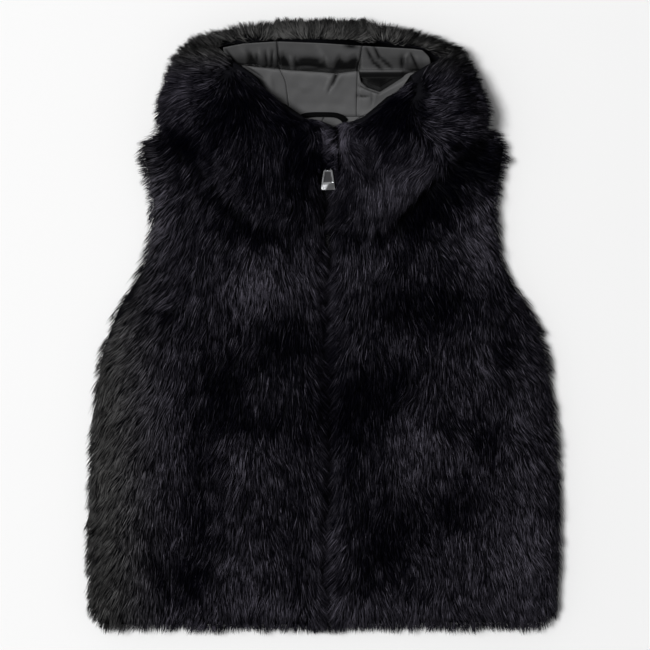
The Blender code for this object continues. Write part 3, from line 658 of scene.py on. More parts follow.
def inset(points, faces, normals):
    """The points moved in along their normals, by the pelt's inset or by a share of the wall there.

    Beside the hood's mouth they go further in, which leaves more of the lining bare.
    """
    tree = tree_of(points, faces)
    depth = np.empty(len(points))
    for i, (point, normal) in enumerate(zip(points.tolist(), normals.tolist())):
        point, normal = Vector(point), Vector(normal)
        hit = tree.ray_cast(point - normal * 0.05, -normal)
        depth[i] = hit[3] if hit[0] is not None else 1.0
    x, y, z = points.T
    low = look_up(LINING_SHOWN, x, values="low")
    chin = np.clip((np.abs(x - ZIP_X) - CHIN_HALF) / CHIN_FADE, 0, 1)
    beside = np.exp(-(((y - low) / MOUTH_REACH) ** 2)) * chin
    beside[(z < MOUTH_BASE) | (y > MOUTH_TOP)] = 0
    return points - normals * np.minimum(PELT_INSET + MOUTH_INSET * beside, depth * PELT_SHARE)[:, None]


def small_triangles(corner):
    """The triangles cut across their longest edge until none is longer than the sample edge.

    A corner holds its point, and after it whatever else goes with it, which is halved too.
    """
    done = []
    while len(corner):
        edge = np.linalg.norm(np.roll(corner, -1, 1)[..., :3] - corner[..., :3], axis=-1)
        longest = edge.argmax(1)
        big = edge.max(1) > SAMPLE_EDGE
        done.append(corner[~big])
        corner, longest = corner[big], longest[big]
        turn = (longest[:, None] + np.arange(3)) % 3
        a, b, c = (np.take_along_axis(corner, turn[:, k, None, None], 1)[:, 0] for k in range(3))
        middle = (a + b) / 2
        corner = np.concatenate([np.stack([a, middle, c], 1), np.stack([middle, b, c], 1)])
    return np.concatenate(done)


def openness(tree, centres, normals):
    """Share of the rays from each centre, spread over its open side, that meet nothing near."""
    k = np.arange(OPEN_RAYS) + 0.5
    height = np.sqrt(1 - k / OPEN_RAYS * 0.9)
    angle = k * GOLDEN_ANGLE
    side = unit(np.cross(normals, [0.31, 0.52, 0.79]))
    other = np.cross(normals, side)
    share = np.empty(len(centres))
    for i in range(len(centres)):
        start = Vector(centres[i] + normals[i] * 0.8)
        across = np.sqrt(1 - height**2)[:, None]
        rays = normals[i] * height[:, None] + across * (
            side[i] * np.cos(angle)[:, None] + other[i] * np.sin(angle)[:, None]
        )
        share[i] = sum(tree.ray_cast(start, ray, OPEN_REACH)[0] is None for ray in rays.tolist())
    return share / OPEN_RAYS


def flow(guides, x, y):
    """Direction of the pile: the guides' directions, weighted by one over the cube of their distance."""
    total = np.zeros((len(x), 2))
    for gx, gy, dx, dy in zip(*guides.values()):
        near = ((x - gx) ** 2 + (y - gy) ** 2 + FLOW_BLUR) ** -1.5
        total += near[:, None] * np.array([dx, dy]) / math.hypot(dx, dy)
    return unit(total)


def strand_piece(name, root, middle, tip, side, radius, tone, wear_and_skipped_root_shade, finish):
    """One mesh of spindles: a point at the root, a ring of three round the middle and a point at the tip.

    Its UV holds how far along the strand a point is, with a first share of the root's painted shade left
    out, and its tone.
    """
    count = len(root)
    along = unit(tip - root)
    side = unit(side - along * (side * along).sum(1)[:, None])
    other = np.cross(along, side)
    points = np.empty((count, STRAND_VERTS, 3))
    points[:, 0], points[:, 4] = root, tip
    for k in range(3):
        angle = math.radians(90 + 120 * k)
        points[:, 1 + k] = middle + radius[:, None] * (side * math.cos(angle) + other * math.sin(angle))
    points[..., 2] = np.maximum(points[..., 2], GROUND_GAP)
    pattern = np.array([(0, 2, 1), (0, 3, 2), (0, 1, 3), (4, 1, 2), (4, 2, 3), (4, 3, 1)])
    faces = repeated(pattern, count, STRAND_VERTS)
    u = np.array([0.0, STRAND_RING, STRAND_RING, STRAND_RING, 1.0])
    v = tone[:, None] + np.array([0.0, -0.01, 0.0, 0.01, 0.0])
    uv = np.stack([wear_and_skipped_root_shade[:, None] + (1 - wear_and_skipped_root_shade[:, None]) * u, v], -1)[:, pattern]
    return new_piece(name, points.reshape(-1, 3), faces, finish, uv)


def shortened(root, middle, tip, share):
    """A strand's middle and tip, drawn in to its root by a share."""
    share = share[:, None]
    return root + (middle - root) * share, root + (tip - root) * share


def draw_roots(panel, blocked, strands, bridge, rng):
    """Roots and their normals, drawn at random from the pelt by area and by how open it is there.

    As many as bridge says, the first ones, are those that close the gap at the chin.
    """
    pelt, outer, normals, faces = panel
    corner = small_triangles(np.concatenate([field[faces] for field in (pelt, normals, outer)], -1))
    centre, facing = corner[..., 6:].mean(1), unit(corner[..., 3:6].mean(1))
    area = np.linalg.norm(crossed(corner[..., :3]), axis=1) / 2
    room = np.clip((openness(blocked, centre, facing) - OPEN_LEAST) / 0.4, 0, 1)
    under = np.where(facing[:, 2] < -SLOPE, GROUND_THIN, 1.0)
    rim = np.where(np.abs(facing[:, 2]) < SLOPE, SLOPE_DENSE, 1.0)
    rim = rim * (1 + bells(DENSE, centre[:, 0], centre[:, 1]))
    chance = area * room * under * rim
    pick = rng.choice(len(corner), strands, p=chance / chance.sum())
    a, b = rng.random((2, strands, 1))
    over = a + b > 1
    a, b = np.where(over, 1 - a, a), np.where(over, 1 - b, b)
    chosen = corner[pick]
    mixed = chosen[:, 0] + (chosen[:, 1] - chosen[:, 0]) * a + (chosen[:, 2] - chosen[:, 0]) * b
    root, normal = mixed[:, :3], unit(mixed[:, 3:6])
    root[:bridge], normal[:bridge] = bridge_roots(bridge, centre[:, 0].mean() < ZIP_X, rng)
    return root, normal


def lay(root, normal, guides, length, closing, rng):
    """The strands' middles and tips.

    A strand leaves along the pile's direction, lifted off the pelt, and its outer part lies flatter. Near the
    zip it is turned towards it, and is longer, by the closing share.
    """
    strands = len(root)
    x, y = root[:, 0], root[:, 1]
    way = flow(guides, x, y)
    beside = np.exp(-(((x - ZIP_X) / CLOSING_REACH) ** 2))
    way[:, 0] -= closing * np.tanh((x - ZIP_X) / CLOSING_TURN) * beside
    turn = 0.2 * waves(x, y, 85.0, rng) + 0.15 * waves(x, y, 30.0, rng) + rng.normal(0, 0.15, strands)
    cos, sin = np.cos(turn), np.sin(turn)
    way = np.stack([way[:, 0] * cos - way[:, 1] * sin, way[:, 0] * sin + way[:, 1] * cos], 1)
    way = np.concatenate([way, np.zeros((strands, 1))], 1)
    inward = np.minimum((way * normal).sum(1), 0)
    lying = unit(way - normal * inward[:, None])
    lift = np.clip(rng.normal(*STRAND_LIFT, strands), 0.08, 0.8)[:, None]
    rising = unit(lying + normal * lift)
    flat = unit(lying + normal * lift * 0.2 + np.array([0, 0, -0.06]))
    longer = 1 + CLOSING_LONGER * closing * beside
    reach = (length * rng.uniform(*STRAND_REACH, strands) * longer)[:, None]
    middle = root + rising * reach * STRAND_RING
    return middle, middle + flat * reach * (1 - STRAND_RING)


def gather(root, middle, tip, rng):
    """Draws each strand to its clump's leader: the nearest of those picked at random, which it gives back."""
    strands = len(root)
    leaders = rng.choice(strands, strands // CLUMP_SIZE, replace=False)
    near = KDTree(len(leaders))
    for k, place in enumerate(root[leaders].tolist()):
        near.insert(place, k)
    near.balance()
    leader = leaders[[near.find(place)[1] for place in root.tolist()]]
    drawn = rng.uniform(*CLUMP_PULL, strands)[:, None]
    towards = tip[leader] + CLUMP_SPREAD * (root - root[leader])
    tip = tip + (towards - tip) * drawn
    return middle + (towards - tip) * drawn * 0.12, tip, leader


def kept_in(blocked, root, middle, tip, leader, rng):
    """Strands that stand far out of the CAD solids, hide the lining or meet the pull are shortened.

    The highest of them are pressed down.
    """
    strands = len(root)
    shared, own = rng.uniform(*PROUD, strands)[leader], rng.uniform(*PROUD, strands)
    most = PROUD_SHARED * shared + (1 - PROUD_SHARED) * own
    found = [blocked.find_nearest(place) for place in tip.tolist()]
    away = np.array([f[3] for f in found])
    inside = ((tip - np.array([f[0] for f in found])) * np.array([f[1] for f in found])).sum(1) < -0.8 * away
    proud = np.where(inside, 0, away)
    shorter = np.minimum((most + PELT_INSET) / (proud + PELT_INSET), 1)
    middle, tip = shortened(root, middle, tip, shorter)
    middle, tip = clear_of_lining(root, middle, tip, rng.uniform(*LAPPING, strands))
    middle, tip = clear_of_pull(root, middle, tip)
    for points in (middle, tip):
        over = np.maximum(points[:, 2] - LOW_TOP, 0)
        points[:, 2] += (1 - np.exp(-over / TOP_ROOM)) * TOP_ROOM - over
    return middle, tip


def tone_of(seen, tones, leader, rng):
    """The strands' tones: the pile's patches of painted light and shade, two soft noises, and what is each
    strand's and clump's own.
    """
    x, y = seen[:, 0], seen[:, 1]
    far, length = PATCH_EDGE
    shift = far * waves(x, y, length, rng), far * waves(x, y, length, rng)
    tone = TONE_MEAN + PAINTED_SHADING_STRENGTH * bells(tones, x + shift[0], y + shift[1])
    tone = tone + 0.03 * waves(x, y, 55.0, rng) + 0.065 * waves(x * 1.6, y * 0.7, 17.0, rng)
    count = len(seen)
    tone = tone + rng.normal(0, TONE_STRAND, count) + TONE_CLUMP * rng.normal(0, 1, count)[leader]
    return np.clip(tone, 0.02, 0.98)


def grow(name, panel, blocked, guides, tones, strands, length, closing, bridge, finish, rng):
    """The pile of one panel: so many strands of a length, rooted in the pelt."""
    root, normal = draw_roots(panel, blocked, strands, bridge, rng)
    middle, tip = lay(root, normal, guides, length, closing, rng)
    middle, tip, leader = gather(root, middle, tip, rng)
    middle, tip = kept_in(blocked, root, middle, tip, leader, rng)
    tone = tone_of((middle + tip) / 2, tones, leader, rng)
    radius = rng.uniform(*STRAND_RADIUS, strands)
    side = rng.normal(0, 1, (strands, 3))
    # The roots at the hood's rim keep less of their painted shade
    wear_and_skipped_root_shade = 0.5 * np.clip((root[:, 1] - 290) / 12, 0, 1)
    return strand_piece(name, root, middle, tip, side, radius, tone, wear_and_skipped_root_shade, finish)


def bridge_roots(count, left, rng):
    """Roots just inside the inner side of one of the hood's rolled sides, from the slider's height up."""
    side = -1.0 if left else 1.0
    out = BRIDGE_HALF_GAP + 5 * rng.random(count)
    y, z = (rng.uniform(*limits, count) for limits in (BRIDGE_Y, BRIDGE_Z))
    normals = np.broadcast_to([-side, 0.0, 0.0], (count, 3))
    return np.stack([ZIP_X + side * out, y, z], 1), normals


def clear_of_lining(root, middle, tip, most):
    """Strands that would hide the hood's lining are shortened until they reach over its edge by the most."""
    for _ in range(6):
        x, y = tip[:, 0], tip[:, 1]
        low, high = (look_up(LINING_SHOWN, x, values=key) for key in ("low", "high"))
        hiding = (y > low + most) & (y < high - most) & (tip[:, 2] > LINING_BASE)
        middle, tip = shortened(root, middle, tip, np.where(hiding, 0.8, 1.0))
    return middle, tip


def clear_of_pull(root, middle, tip):
    """Strands that would reach into the space that the zip's pull swings through are shortened.

    That space is the part of a disc round the pin from the pull's place at rest to its last place, as wide
    as the pull is at each distance from the pin. Close to the pin the pile may lie over the slider.
    """
    for share in PULL_CUTS:
        inside = np.zeros(len(root), bool)
        for point in ((root + middle) / 2, middle, (middle * 2 + tip) / 3, (middle + tip * 2) / 3, tip):
            x, y, z = (point - PIVOT).T
            away = np.hypot(y, z)
            swung = np.degrees(np.arctan2(z, -y)) + math.degrees(ZIP_SLOPE)
            wide = look_up(PULL_ROOM, away, "away", "half")
            near = (away < PULL_BARE) & ((swung > 30) | (away < 4))
            met = (np.abs(x) < wide) & (away < PULL_SWEEP) & ~near
            inside |= met & (swung > PULL_SWINGS[0]) & (swung < PULL_SWINGS[1])
        middle, tip = shortened(root, middle, tip, np.where(inside, share, 1.0))
    return middle, tip


# ---- lining, loop and zip


def through(places, values, at):
    """A smooth curve through the values at the places: cubic pieces with the rows' own mean slopes."""
    at = np.clip(at, places[0], places[-1])
    slopes = np.gradient(values, places)
    i = np.clip(np.searchsorted(places, at) - 1, 0, len(places) - 2)
    step = places[i + 1] - places[i]
    t = (at - places[i]) / step
    ends = (2 * t**3 - 3 * t**2 + 1) * values[i] + (3 * t**2 - 2 * t**3) * values[i + 1]
    return ends + step * ((t**3 - 2 * t**2 + t) * slopes[i] + (t**3 - t**2) * slopes[i + 1])


def grid_faces(rows, columns, closed=False):
    """The quads of a grid of points, numbered row by row. A closed grid's last column meets its first."""
    i, j = np.meshgrid(np.arange(rows - 1), np.arange(columns - (not closed)), indexing="ij")
    a, b = i * columns + j, i * columns + (j + 1) % columns
    return np.stack([a, b, b + columns, a + columns], -1).reshape(-1, 4)


def between(low, high):
    """Points and quads of the closed wall between two grids of points, the first seen from outside below."""
    rows, columns = low.shape[:2]
    count = rows * columns
    number = np.arange(count).reshape(rows, columns)
    rim = np.concatenate([number[0], number[1:, -1], number[-1, -2::-1], number[-2:0:-1, 0]])
    after = np.roll(rim, -1)
    walls = np.stack([after, rim, rim + count, after + count], -1)
    upper = grid_faces(rows, columns)
    faces = np.concatenate([upper, upper[:, ::-1] + count, walls])
    return np.concatenate([high.reshape(-1, 3), low.reshape(-1, 3)]), faces


def cloth_wall(middle, wall):
    """The wall on both sides of a grid of points: each point moved half the wall along the grid's normal."""
    normal = unit(np.cross(np.gradient(middle, axis=1), np.gradient(middle, axis=0)))
    return between(middle - normal * wall / 2, middle + normal * wall / 2)


def tube(path, half_width, half_thick, up, sides=12, power=2.0, size=1.0):
    """A closed tube: a rounded ring carried along a path, its ends shut by a last ring of no size.

    The ring is |x / half_width| ^ power + |z / half_thick| ^ power = 1, with z as near to up as it can be.
    size scales it at each point of the path.
    """
    path = np.asarray(path, float)
    along = unit(np.gradient(path, axis=0))
    across = unit(np.cross(along, np.broadcast_to(up, path.shape)))
    over = np.cross(across, along)
    angle = np.linspace(0, 2 * math.pi, sides, endpoint=False)
    cos, sin = np.cos(angle), np.sin(angle)
    ring_x = np.sign(cos) * np.abs(cos) ** (2 / power)
    ring_z = np.sign(sin) * np.abs(sin) ** (2 / power)
    size = np.broadcast_to(size, len(path))[:, None, None]
    rings = path[:, None] + size * (
        across[:, None] * (half_width * ring_x)[:, None] + over[:, None] * (half_thick * ring_z)[:, None]
    )
    count = len(path) * sides
    points = np.concatenate([rings.reshape(-1, 3), path[:1], path[-1:]])
    j = np.arange(sides)
    k = (j + 1) % sides
    start = np.stack([k, j, np.full(sides, count), np.full(sides, count)], -1)
    last = count - sides
    end = np.stack([j + last, k + last, np.full(sides, count + 1), np.full(sides, count + 1)], -1)
    return points, np.concatenate([grid_faces(len(path), sides, True), start, end])


def add_attribute(piece, name, values):
    """A number on each point of a piece."""
    layer = piece.data.attributes.new(name, "FLOAT", "POINT")
    layer.data.foreach_set("value", np.asarray(values, np.float32))


def folds(rows, x, y):
    """Relief and shade of folds: each falls off with the square of the distance from its line."""
    relief, shade = np.zeros_like(x), np.zeros_like(x)
    for x0, y0, x1, y1, wide, rise, dark in zip(*rows.values()):
        along = np.array([x1 - x0, y1 - y0])
        share = np.clip(((x - x0) * along[0] + (y - y0) * along[1]) / (along @ along), 0, 1)
        apart = np.hypot(x - x0 - share * along[0], y - y0 - share * along[1])
        near = np.exp(-((apart / wide) ** 2)) * (0.3 + 0.7 * np.sin(np.pi * (0.1 + 0.8 * share)))
        relief += rise * near
        shade += dark * near
    return relief, shade


def lining_panel(name, left, right, columns, finish):
    """One panel of the hood's lining: the section between its two edges, with its hollow and its folds.

    The grid of points in the middle of its cloth is given back too.
    """
    count = len(LINING["y"])
    fine = np.linspace(0, count - 1, FINE_ROWS * (count - 1) + 1)
    row = {key: through(np.arange(count), value, fine)[:, None] for key, value in LINING.items()}
    edges = [through(np.arange(count), edge, fine)[:, None] for edge in (left, right)]
    x = edges[0] + (edges[1] - edges[0]) * np.linspace(0, 1, columns)[None, :]
    seam = np.where(x < 0, LINING_SEAM_LEFT["x"][0], LINING_SEAM_RIGHT["x"][0])
    reach = np.where(x < 0, row["left"], row["right"])
    sag = look_up(FOLD_SAG, x)
    y = row["y"] + row["follow"] * look_up(RIM_SLANT, x) + row["sag"] * sag
    z = np.broadcast_to(row["z"], x.shape)
    # Painted shade of the lining: how much its colour is darkened in the hollow, in the gap over the folded
    # edge and in the folds
    deep = np.clip(np.broadcast_to(row["deep"], x.shape), 0, 1)
    step = fine[:, None]

    down = look_up(DIP, x, values="down")
    start, stop = LINING["y"][0], LINING["y"][FOLD_ROW]
    lip = stop + sag - down
    y = np.where(step <= FOLD_ROW, y - down * np.clip((y - start) / (stop - start), 0, 1), y)
    lowered = DIP_LOWERED * down * np.clip(step / FOLD_ROW, 0, 1)
    z = np.where(step <= FOLD_ROW, z - lowered, z)
    at = np.clip(fine - FOLD_ROW, 0, len(HOLLOW["y"]) - 1)
    hollow = {key: through(np.arange(len(HOLLOW["y"])), value, at)[:, None] for key, value in HOLLOW.items()}
    far = np.clip(at[:, None] - HOLLOW_LIP_ROWS + 1, 0, 1)
    hollow_y = lip + hollow["y"] + far * (HOLLOW_FAR_EDGE + sag - lip)
    blend = np.clip(down / DIP_BLEND, 0, 1) * (step >= FOLD_ROW) * np.clip((HOLLOW_LAST_ROW - step) / 2, 0, 1)
    y = y + (hollow_y - y) * blend
    z = z + (hollow["z"] - z) * blend
    deep = deep + (np.clip(hollow["deep"], 0, 1) - deep) * blend

    upper = np.clip(step - UPPER_ROWS, 0, 1)
    lower = np.clip(FOLD_ROW + 1 - step, 0, 1) * (step < FOLD_ROW + 1)
    climb = look_up(GAP_CLIMB, x, values="tall")
    edge = LINING["y"][FOLD_ROW + 1] + sag
    above = y - edge - climb * SHADE_TALLER - SHADE_OVER
    dark = upper * (1 - blend) * np.clip(1 - above / SHADE_FADE, 0, 1) ** 1.2
    z = z - dark * np.clip(z - LINING["z"][BEHIND_ROW], 0, SHADE_SINKS)
    relief_up, shade_up = folds(UPPER_FOLDS, x, y)
    relief_low, shade_low = folds(LOWER_FOLDS, x, y)
    rng = np.random.default_rng(SEED + 40)
    creases = LINING_CREASES[0] * waves(x, y * 1.4, LINING_CREASES[1], rng)
    z = z + upper * relief_up + lower * relief_low + creases * (upper + lower)
    z = z + row["rise"] * np.clip((x - seam) / (reach - seam), 0, 1) ** 2
    deep = np.maximum(deep, dark) + upper * shade_up + lower * shade_low
    gap = upper * (1 - blend) * np.clip((edge + GAP_SHOWN - y) / GAP_EDGE, 0, 1)
    deep = np.clip(np.maximum(deep, gap), 0, 1)
    middle = np.stack([x, y, z], -1)
    piece = new_piece(name, *cloth_wall(middle, LINING_WALL), finish)
    # The painted shade goes to the satin as a point attribute
    add_attribute(piece, "deep", np.tile(deep.ravel(), 2))
    return piece, middle


def zip_height(y):
    """Height of the middle of the zip at each Y."""
    return through(ZIP["y"], ZIP["z"], y)


def build_tape(name, inner, outer, finish):
    """One side's tape: a thin woven strip with a thicker bead at its toothed edge."""
    y = np.linspace(ZIP["y"][0], ZIP["y"][-1], 150)[:, None]
    x = ZIP_X + np.linspace(inner, outer, 7)[None, :]
    x, y = np.broadcast_arrays(x, y)
    bead = np.exp(-(((np.abs(x - ZIP_X) - TAPE_INNER - 0.5) / 0.5) ** 2))
    z = zip_height(y)
    half = TAPE_HALF + TAPE_BEAD * bead
    low, high = (np.stack([x, y, z + sign * half], -1) for sign in (-1, 1))
    if outer < inner:
        low, high = low[:, ::-1], high[:, ::-1]
    points, faces = between(low, high)
    return new_piece(name, points, faces, finish)


def build_teeth(finish):
    """The closed teeth: two rows of small blocks with rounded noses that reach past each other."""
    y = np.arange(ZIP["y"][0] + 2, TEETH_TOP, TOOTH_PITCH / 2)
    side = np.where(np.arange(len(y)) % 2, 1.0, -1.0)
    count = len(TOOTH_OUTLINE)
    across, down = TOOTH_OUTLINE.T
    z = zip_height(y)
    slope = np.gradient(z, y)
    rings = []
    for height, share in TOOTH_LAYERS:
        out = ZIP_X + side[:, None] * (across * share + 0.2)
        along = y[:, None] + down * share
        up = z[:, None] + height + slope[:, None] * down
        rings.append(np.stack([out, along, up], -1))
    rings = np.stack(rings, 1)
    rings = np.where(side[:, None, None, None] > 0, rings, rings[:, :, ::-1])
    points = rings.reshape(len(y), -1, 3)
    sides = grid_faces(4, count, True)
    caps = np.array([(0, 3, 2, 1), (0, 5, 4, 3)])
    top = caps[:, ::-1] + 3 * count
    pattern = np.concatenate([sides, caps, top])
    faces = repeated(pattern, len(y), points.shape[1])
    return new_piece("zip_teeth", points.reshape(-1, 3), faces, finish, smooth=False)


def on_zip(points, above):
    """Turns points given along the zip, across, along and up from the slider, into the vest's frame."""
    cos, sin = math.cos(ZIP_SLOPE), math.sin(ZIP_SLOPE)
    x, along, up = np.moveaxis(points, -1, 0)
    up = up + above - PIN_ABOVE_CHAIN
    return np.stack([x + PIVOT[0], PIVOT[1] + along * cos - up * sin, PIVOT[2] + along * sin + up * cos], -1)


def plate(half_width, along, high, low, edge, dent=None):
    """A plate with a rounded rim: a grid across its width and along it, its thickness falling at the rim.

    half_width gives the outline at each place along. dent gives how far the upper side is sunk.
    """
    across = np.sin(np.linspace(-math.pi / 2, math.pi / 2, 23))[None, :]
    wide = half_width[:, None]
    x = across * wide
    y = np.broadcast_to(along[:, None], x.shape)
    rim = np.minimum(wide - np.abs(x), np.minimum(y - along[0], along[-1] - y))
    drop = edge * (1 - np.sqrt(1 - (1 - np.clip(rim / edge, 0, 1)) ** 2))
    sunk = 0 if dent is None else dent(x, y)
    top = np.stack([x, y, high - drop - sunk], -1)
    bottom = np.stack([x, y, low + drop], -1)
    return between(bottom, top)


def build_slider(finish):
    """The slider: an upper and a lower plate, wide at the top, the post between them and the arch."""
    along = np.concatenate([[-5.0, -4.8], np.linspace(-4.3, 4.3, 14), [4.8, 5.0]])
    half = look_up(SLIDER_OUTLINE, along, "along", "half")
    near, far = SLIDER_PLATE
    upper = plate(half, along, far, near, 0.5)
    lower = plate(half, along, -near, -far, 0.5)
    post = tube([(0, 3.6, z) for z in (-2.0, -1, 0, 1, 2.0)], 1.5, 0.9, (0, 1, 0), 12, 3.0)
    angle = np.linspace(0, math.pi, 17)
    arc = [(0, ARCH_RADIUS * math.cos(a), far + ARCH_RADIUS * math.sin(a)) for a in angle]
    route = [(0, ARCH_RADIUS, far - 0.5), *arc, (0, -ARCH_RADIUS, far - 0.5)]
    arch = tube(route, 0.55, 1.75, (1, 0, 0), 16, 3.0)
    points, faces = joined(upper, lower, post, arch)
    return new_piece("zip_slider_body", on_zip(points, 0.0), faces, finish)


def build_pull(finish):
    """The pull: a tab that widens to its end, with a sunk bare panel, two arms and a pin, and painted dark
    reflections on its upper side.
    """
    window_end, window_start = PULL_WINDOW

    def apart(x, y):
        """How far a place is right of the line between the two slanting faces."""
        return x - 1.0 - (y - PULL_FACETS) * 0.5

    def dent(x, y):
        """How far the upper side is sunk: a panel near the arms, and two slanting faces at the free end."""
        wide = np.clip((3.6 + (y + 9) * -0.12 - np.abs(x)) / 0.3, 0, 1)
        long = np.clip(np.minimum(y - window_end, window_start - y) / 0.3, 0, 1)
        end = np.clip((PULL_FACETS - y) / 0.5, 0, 1)
        slant = np.where(apart(x, y) < 0, -0.13, 0.1) * apart(x, y)
        return 0.42 * wide * long + end * np.minimum(slant, 0.8)

    along = np.concatenate(
        [[-29.0, -28.7], np.linspace(-28.2, -20.9, 9), np.linspace(-20.4, -19.9, 3)]
        + [np.linspace(-18, -9.4, 8), np.linspace(-8.9, -8.4, 3), [-7.6, -6.9, -6.5, -6.3]]
    )
    half = look_up(PULL_OUTLINE, along, "along", "half")
    tab = plate(half, along, PULL_THICK, -PULL_THICK, 0.3, dent)
    routes = [[(x, y, 0) for y in np.linspace(-7.4, 0.5, 9)] for x in (-ARM_X, ARM_X)]
    arms = [tube(route, 0.75, 0.85, (0, 0, 1), 16, 4.0) for route in routes]
    pin = tube([(x, 0, 0) for x in np.linspace(-3.2, 3.2, 9)], PIN_RADIUS, PIN_RADIUS, (0, 0, 1), 14)
    points, faces = joined(tab, *arms, pin)
    piece = new_piece("zip_pull_tab", on_zip(points, PIN_ABOVE_CHAIN), faces, finish)
    x, y, z = points.T
    window = (z < 0.6) & (np.abs(x) < 5) & (y > window_end - 0.1) & (y < window_start)
    facet = (y < PULL_FACETS + 0.2) & (apart(x, y) > 0)
    side = (x > 3.4) & (y > PULL_FACETS + 0.2)
    # Painted dark reflections on the upper side: the sunk panel darkest, then the slanting face, the right
    # side and the part near the arms
    painted_dark_reflection = np.select([window, facet, side, y > -15], [0.88, 0.45, 0.4, 0.3], 0.0)
    add_attribute(piece, "deep", painted_dark_reflection * (z > 0))
    return piece


def build_stitches(name, routes, finish):
    """Rows of stitches: short spindles with four sides along routes of points."""
    rows = []
    for route in routes:
        step = np.concatenate([[0], np.cumsum(np.linalg.norm(np.diff(route, axis=0), axis=1))])
        starts = np.arange(STITCH_GAP, step[-1] - STITCH_LENGTH, STITCH_LENGTH + STITCH_GAP)
        at = starts[:, None] + STITCH_LENGTH * np.array([0, 0.2, 0.8, 1.0])
        rows.append(np.stack([np.interp(at, step, route[:, k]) for k in range(3)], -1))
    path = np.concatenate(rows)
    along = unit(path[:, -1] - path[:, 0])
    side = unit(np.cross(along, [0.0, 0.0, 1.0]))
    up = np.cross(side, along)
    size = STITCH_HALF * np.array([1 / 12, 1, 1, 1 / 12])
    rings = [
        path + (side[:, None] * math.cos(a) + up[:, None] * math.sin(a)) * size[None, :, None]
        for a in np.arange(4) * math.pi / 2
    ]
    points = np.stack(rings, 2).reshape(len(path), 16, 3)
    caps = np.array([(3, 2, 1, 0), (12, 13, 14, 15)])
    pattern = np.concatenate([grid_faces(4, 4, True), caps])
    faces = repeated(pattern, len(path), 16)
    return new_piece(name, points.reshape(-1, 3), faces, finish)


satin, cord, tape_cloth = satin_finish(), cord_finish(), tape_finish()
moulding, plating = tooth_finish(), metal_finish()

seams = [look_up(seam, LINING["y"], "y", "x") for seam in (LINING_SEAM_LEFT, LINING_SEAM_RIGHT)]
half_gap = LINING_GAP / 2
linings = {
    "lining_left": (LINING["left"], seams[0] - half_gap, 46, (0.054, 0.135), 0.0054),
    "lining_centre": (seams[0] + half_gap, seams[1] - half_gap, 76, (0.096, 0.135), 0.0115),
    "lining_right": (seams[1] + half_gap, LINING["right"], 68, (0.082, 0.135), 0.0085),
}
for name, (left, right, columns, flat, area) in linings.items():
    piece, middle = lining_panel("satin_" + name, left, right, columns, satin)
    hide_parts(name)
    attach(piece, "vest")
    if name == "lining_centre":
        rows = [slice(0, FOLD_ROW * FINE_ROWS), slice((BEHIND_ROW + 1) * FINE_ROWS, -3)]
        routes = [middle[band, column] + (0, 0, LINING_WALL / 2) for band in rows for column in (2, -3)]
        stitches = build_stitches("lining_stitches", routes, satin)
        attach(stitches, "vest")

# ---- fur panels

pile, pelt_cloth = fur_finish(), pelt_finish()
solids = {name: solid_mesh(name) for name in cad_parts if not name.startswith("zip_")}
blocked = tree_of(*joined(*(solid[:2] for solid in solids.values())))

# Flat cut of each panel in metres, its number of strands, their length, how much they close over the zip,
# how many of them bridge the gap at the chin, and the side of it that is lined
PANELS = {
    "back": ((0.53, 0.57), 26000, 28.0, 0.0, 0, 1),
    "front_left": ((0.27, 0.57), 32000, 27.0, 1.0, 0, -1),
    "front_right": ((0.26, 0.57), 32000, 27.0, 1.0, 0, -1),
    "hood_centre": ((0.095, 0.125), 9000, 27.0, 0.0, 0, 0),
    "hood_side_left": ((0.20, 0.21), 24000, 29.0, 0.0, 600, 0),
    "hood_side_right": ((0.20, 0.21), 24000, 29.0, 0.0, 800, 0),
}
for number, (name, (flat, strands, length, closing, bridge, lined)) in enumerate(PANELS.items()):
    rng = np.random.default_rng(SEED + number)
    points, faces, normals = solids[name]
    inner = inset(points, faces, normals)
    pelt = new_piece("pelt_" + name, inner, faces, pelt_cloth)
    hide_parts(name)
    shown = unit(crossed(points[faces]))[:, 2] * lined < 0.7
    hood = name.startswith("hood")
    guides, tones = (HOOD_FLOW, HOOD_PAINTED_SHADING) if hood else (BODY_FLOW, BODY_PAINTED_SHADING)
    panel = (inner, points, normals, faces[shown])
    fur = grow("fur_" + name, panel, blocked, guides, tones, strands, length, closing, bridge, pile, rng)
    for piece in (pelt, fur):
        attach(piece, "vest")

left, right, lower, upper = NECK_FACING
x, y = np.meshgrid(np.linspace(left, right, 48), np.linspace(lower, upper, 9))
rng = np.random.default_rng(SEED + 50)
z = FACING_Z + 0.15 * waves(x, y, 14.0, rng)
facing_cloth = new_piece("neck_strip", *cloth_wall(np.stack([x, y, z], -1), 1.0), satin)
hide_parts("neck_facing")
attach(facing_cloth, "vest")

count = len(LOOP_ROUTE["x"])
fine = np.linspace(0, count - 1, 45)
*route, size = (through(np.arange(count), values, fine) for values in LOOP_ROUTE.values())
points, faces = tube(np.stack(route, 1), LOOP_HALF_WIDTH, LOOP_HALF_THICK, (0, 0, 1), 14, size=size)
loop = new_piece("hanger_cord", points, faces, cord)
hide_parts("hanger_loop")
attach(loop, "vest")

for name, inner, outer in (("left", -TAPE_INNER, -TAPE_OUTER), ("right", TAPE_INNER, TAPE_OUTER)):
    tape = build_tape("tape_" + name, inner, outer, tape_cloth)
    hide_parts("zip_tape_" + name)
    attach(tape, "vest")

for piece, node, body, slot in (
    (build_teeth(moulding), "zip_chain", "vest", "black_plastic"),
    (build_slider(plating), "zip_slider", "vest", "bright_metal"),
    (build_pull(plating), "zip_pull", "pull", "bright_metal"),
):
    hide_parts(node)
    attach(piece, body)

# ---- stage

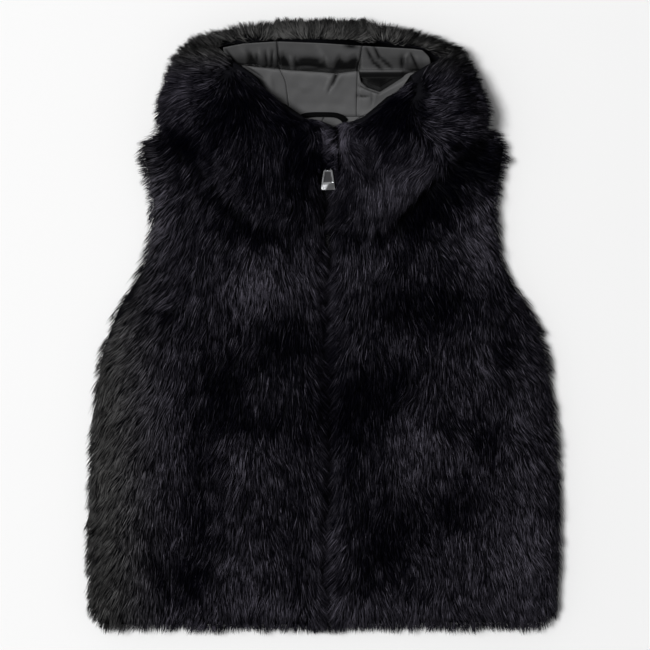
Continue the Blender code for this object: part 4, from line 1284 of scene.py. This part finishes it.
FLOOR_HALF = 6.0
KEY_PLACE = (-2.7, 0.45, 7.8)
KEY_SIZE = 2.7
KEY_POWER = 580.0
SURROUND = (-0.25, 0.25, 0.34, 0.16)  # from this x to that one its strength goes from the third to the fourth
CAMERA_DISTANCE = 4.0
FRAME_WIDTH = 0.728  # how much of the floor the picture is wide
FRAME_MIDDLE = (0.0011, 0.0022)


def build_stage():
    """A pale floor, a large soft key light from the upper left, and a surround, brighter on the left."""
    mesh = bpy.data.meshes.new("floor")
    corners = [(i * FLOOR_HALF, j * FLOOR_HALF, 0) for i, j in ((-1, -1), (1, -1), (1, 1), (-1, 1))]
    mesh.from_pydata(corners, [], [(0, 1, 2, 3)])
    floor = bpy.data.objects.new("floor", mesh)
    bpy.context.scene.collection.objects.link(floor)
    paper = Finish("pale_paper", (0.9, 0.9, 0.9), 0.9, Specular_IOR_Level=0.0)
    mesh.materials.append(paper.material)

    light = bpy.data.lights.new("key", "AREA")
    light.shape, light.size, light.energy = "DISK", KEY_SIZE, KEY_POWER
    key = bpy.data.objects.new("key", light)
    place = Vector(KEY_PLACE)
    key.location = place
    key.rotation_euler = (-place).to_track_quat("-Z", "Y").to_euler()
    bpy.context.scene.collection.objects.link(key)

    world = bpy.data.worlds.new("surround")
    world.use_nodes = True
    nodes, links = world.node_tree.nodes, world.node_tree.links
    place = nodes.new("ShaderNodeTexCoord")
    axes = nodes.new("ShaderNodeSeparateXYZ")
    across = nodes.new("ShaderNodeMapRange")
    across.interpolation_type = "SMOOTHSTEP"
    for k, value in enumerate(SURROUND):
        across.inputs[1 + k].default_value = value
    links.new(place.outputs["Generated"], axes.inputs[0])
    links.new(axes.outputs[0], across.inputs[0])
    links.new(across.outputs[0], nodes["Background"].inputs["Strength"])
    nodes["Background"].inputs["Color"].default_value = (1, 1, 1, 1)
    bpy.context.scene.world = world
    bpy.context.scene.view_settings.view_transform = "Standard"


def build_camera():
    """Straight above the middle of the photograph's frame, with a long lens."""
    data = bpy.data.cameras.new("camera")
    data.sensor_width = 36.0
    data.lens = data.sensor_width * CAMERA_DISTANCE / FRAME_WIDTH
    data.clip_end = 50.0
    camera = bpy.data.objects.new("camera", data)
    camera.location = (*FRAME_MIDDLE, CAMERA_DISTANCE)
    bpy.context.scene.collection.objects.link(camera)
    bpy.context.scene.camera = camera


build_stage()
build_camera()
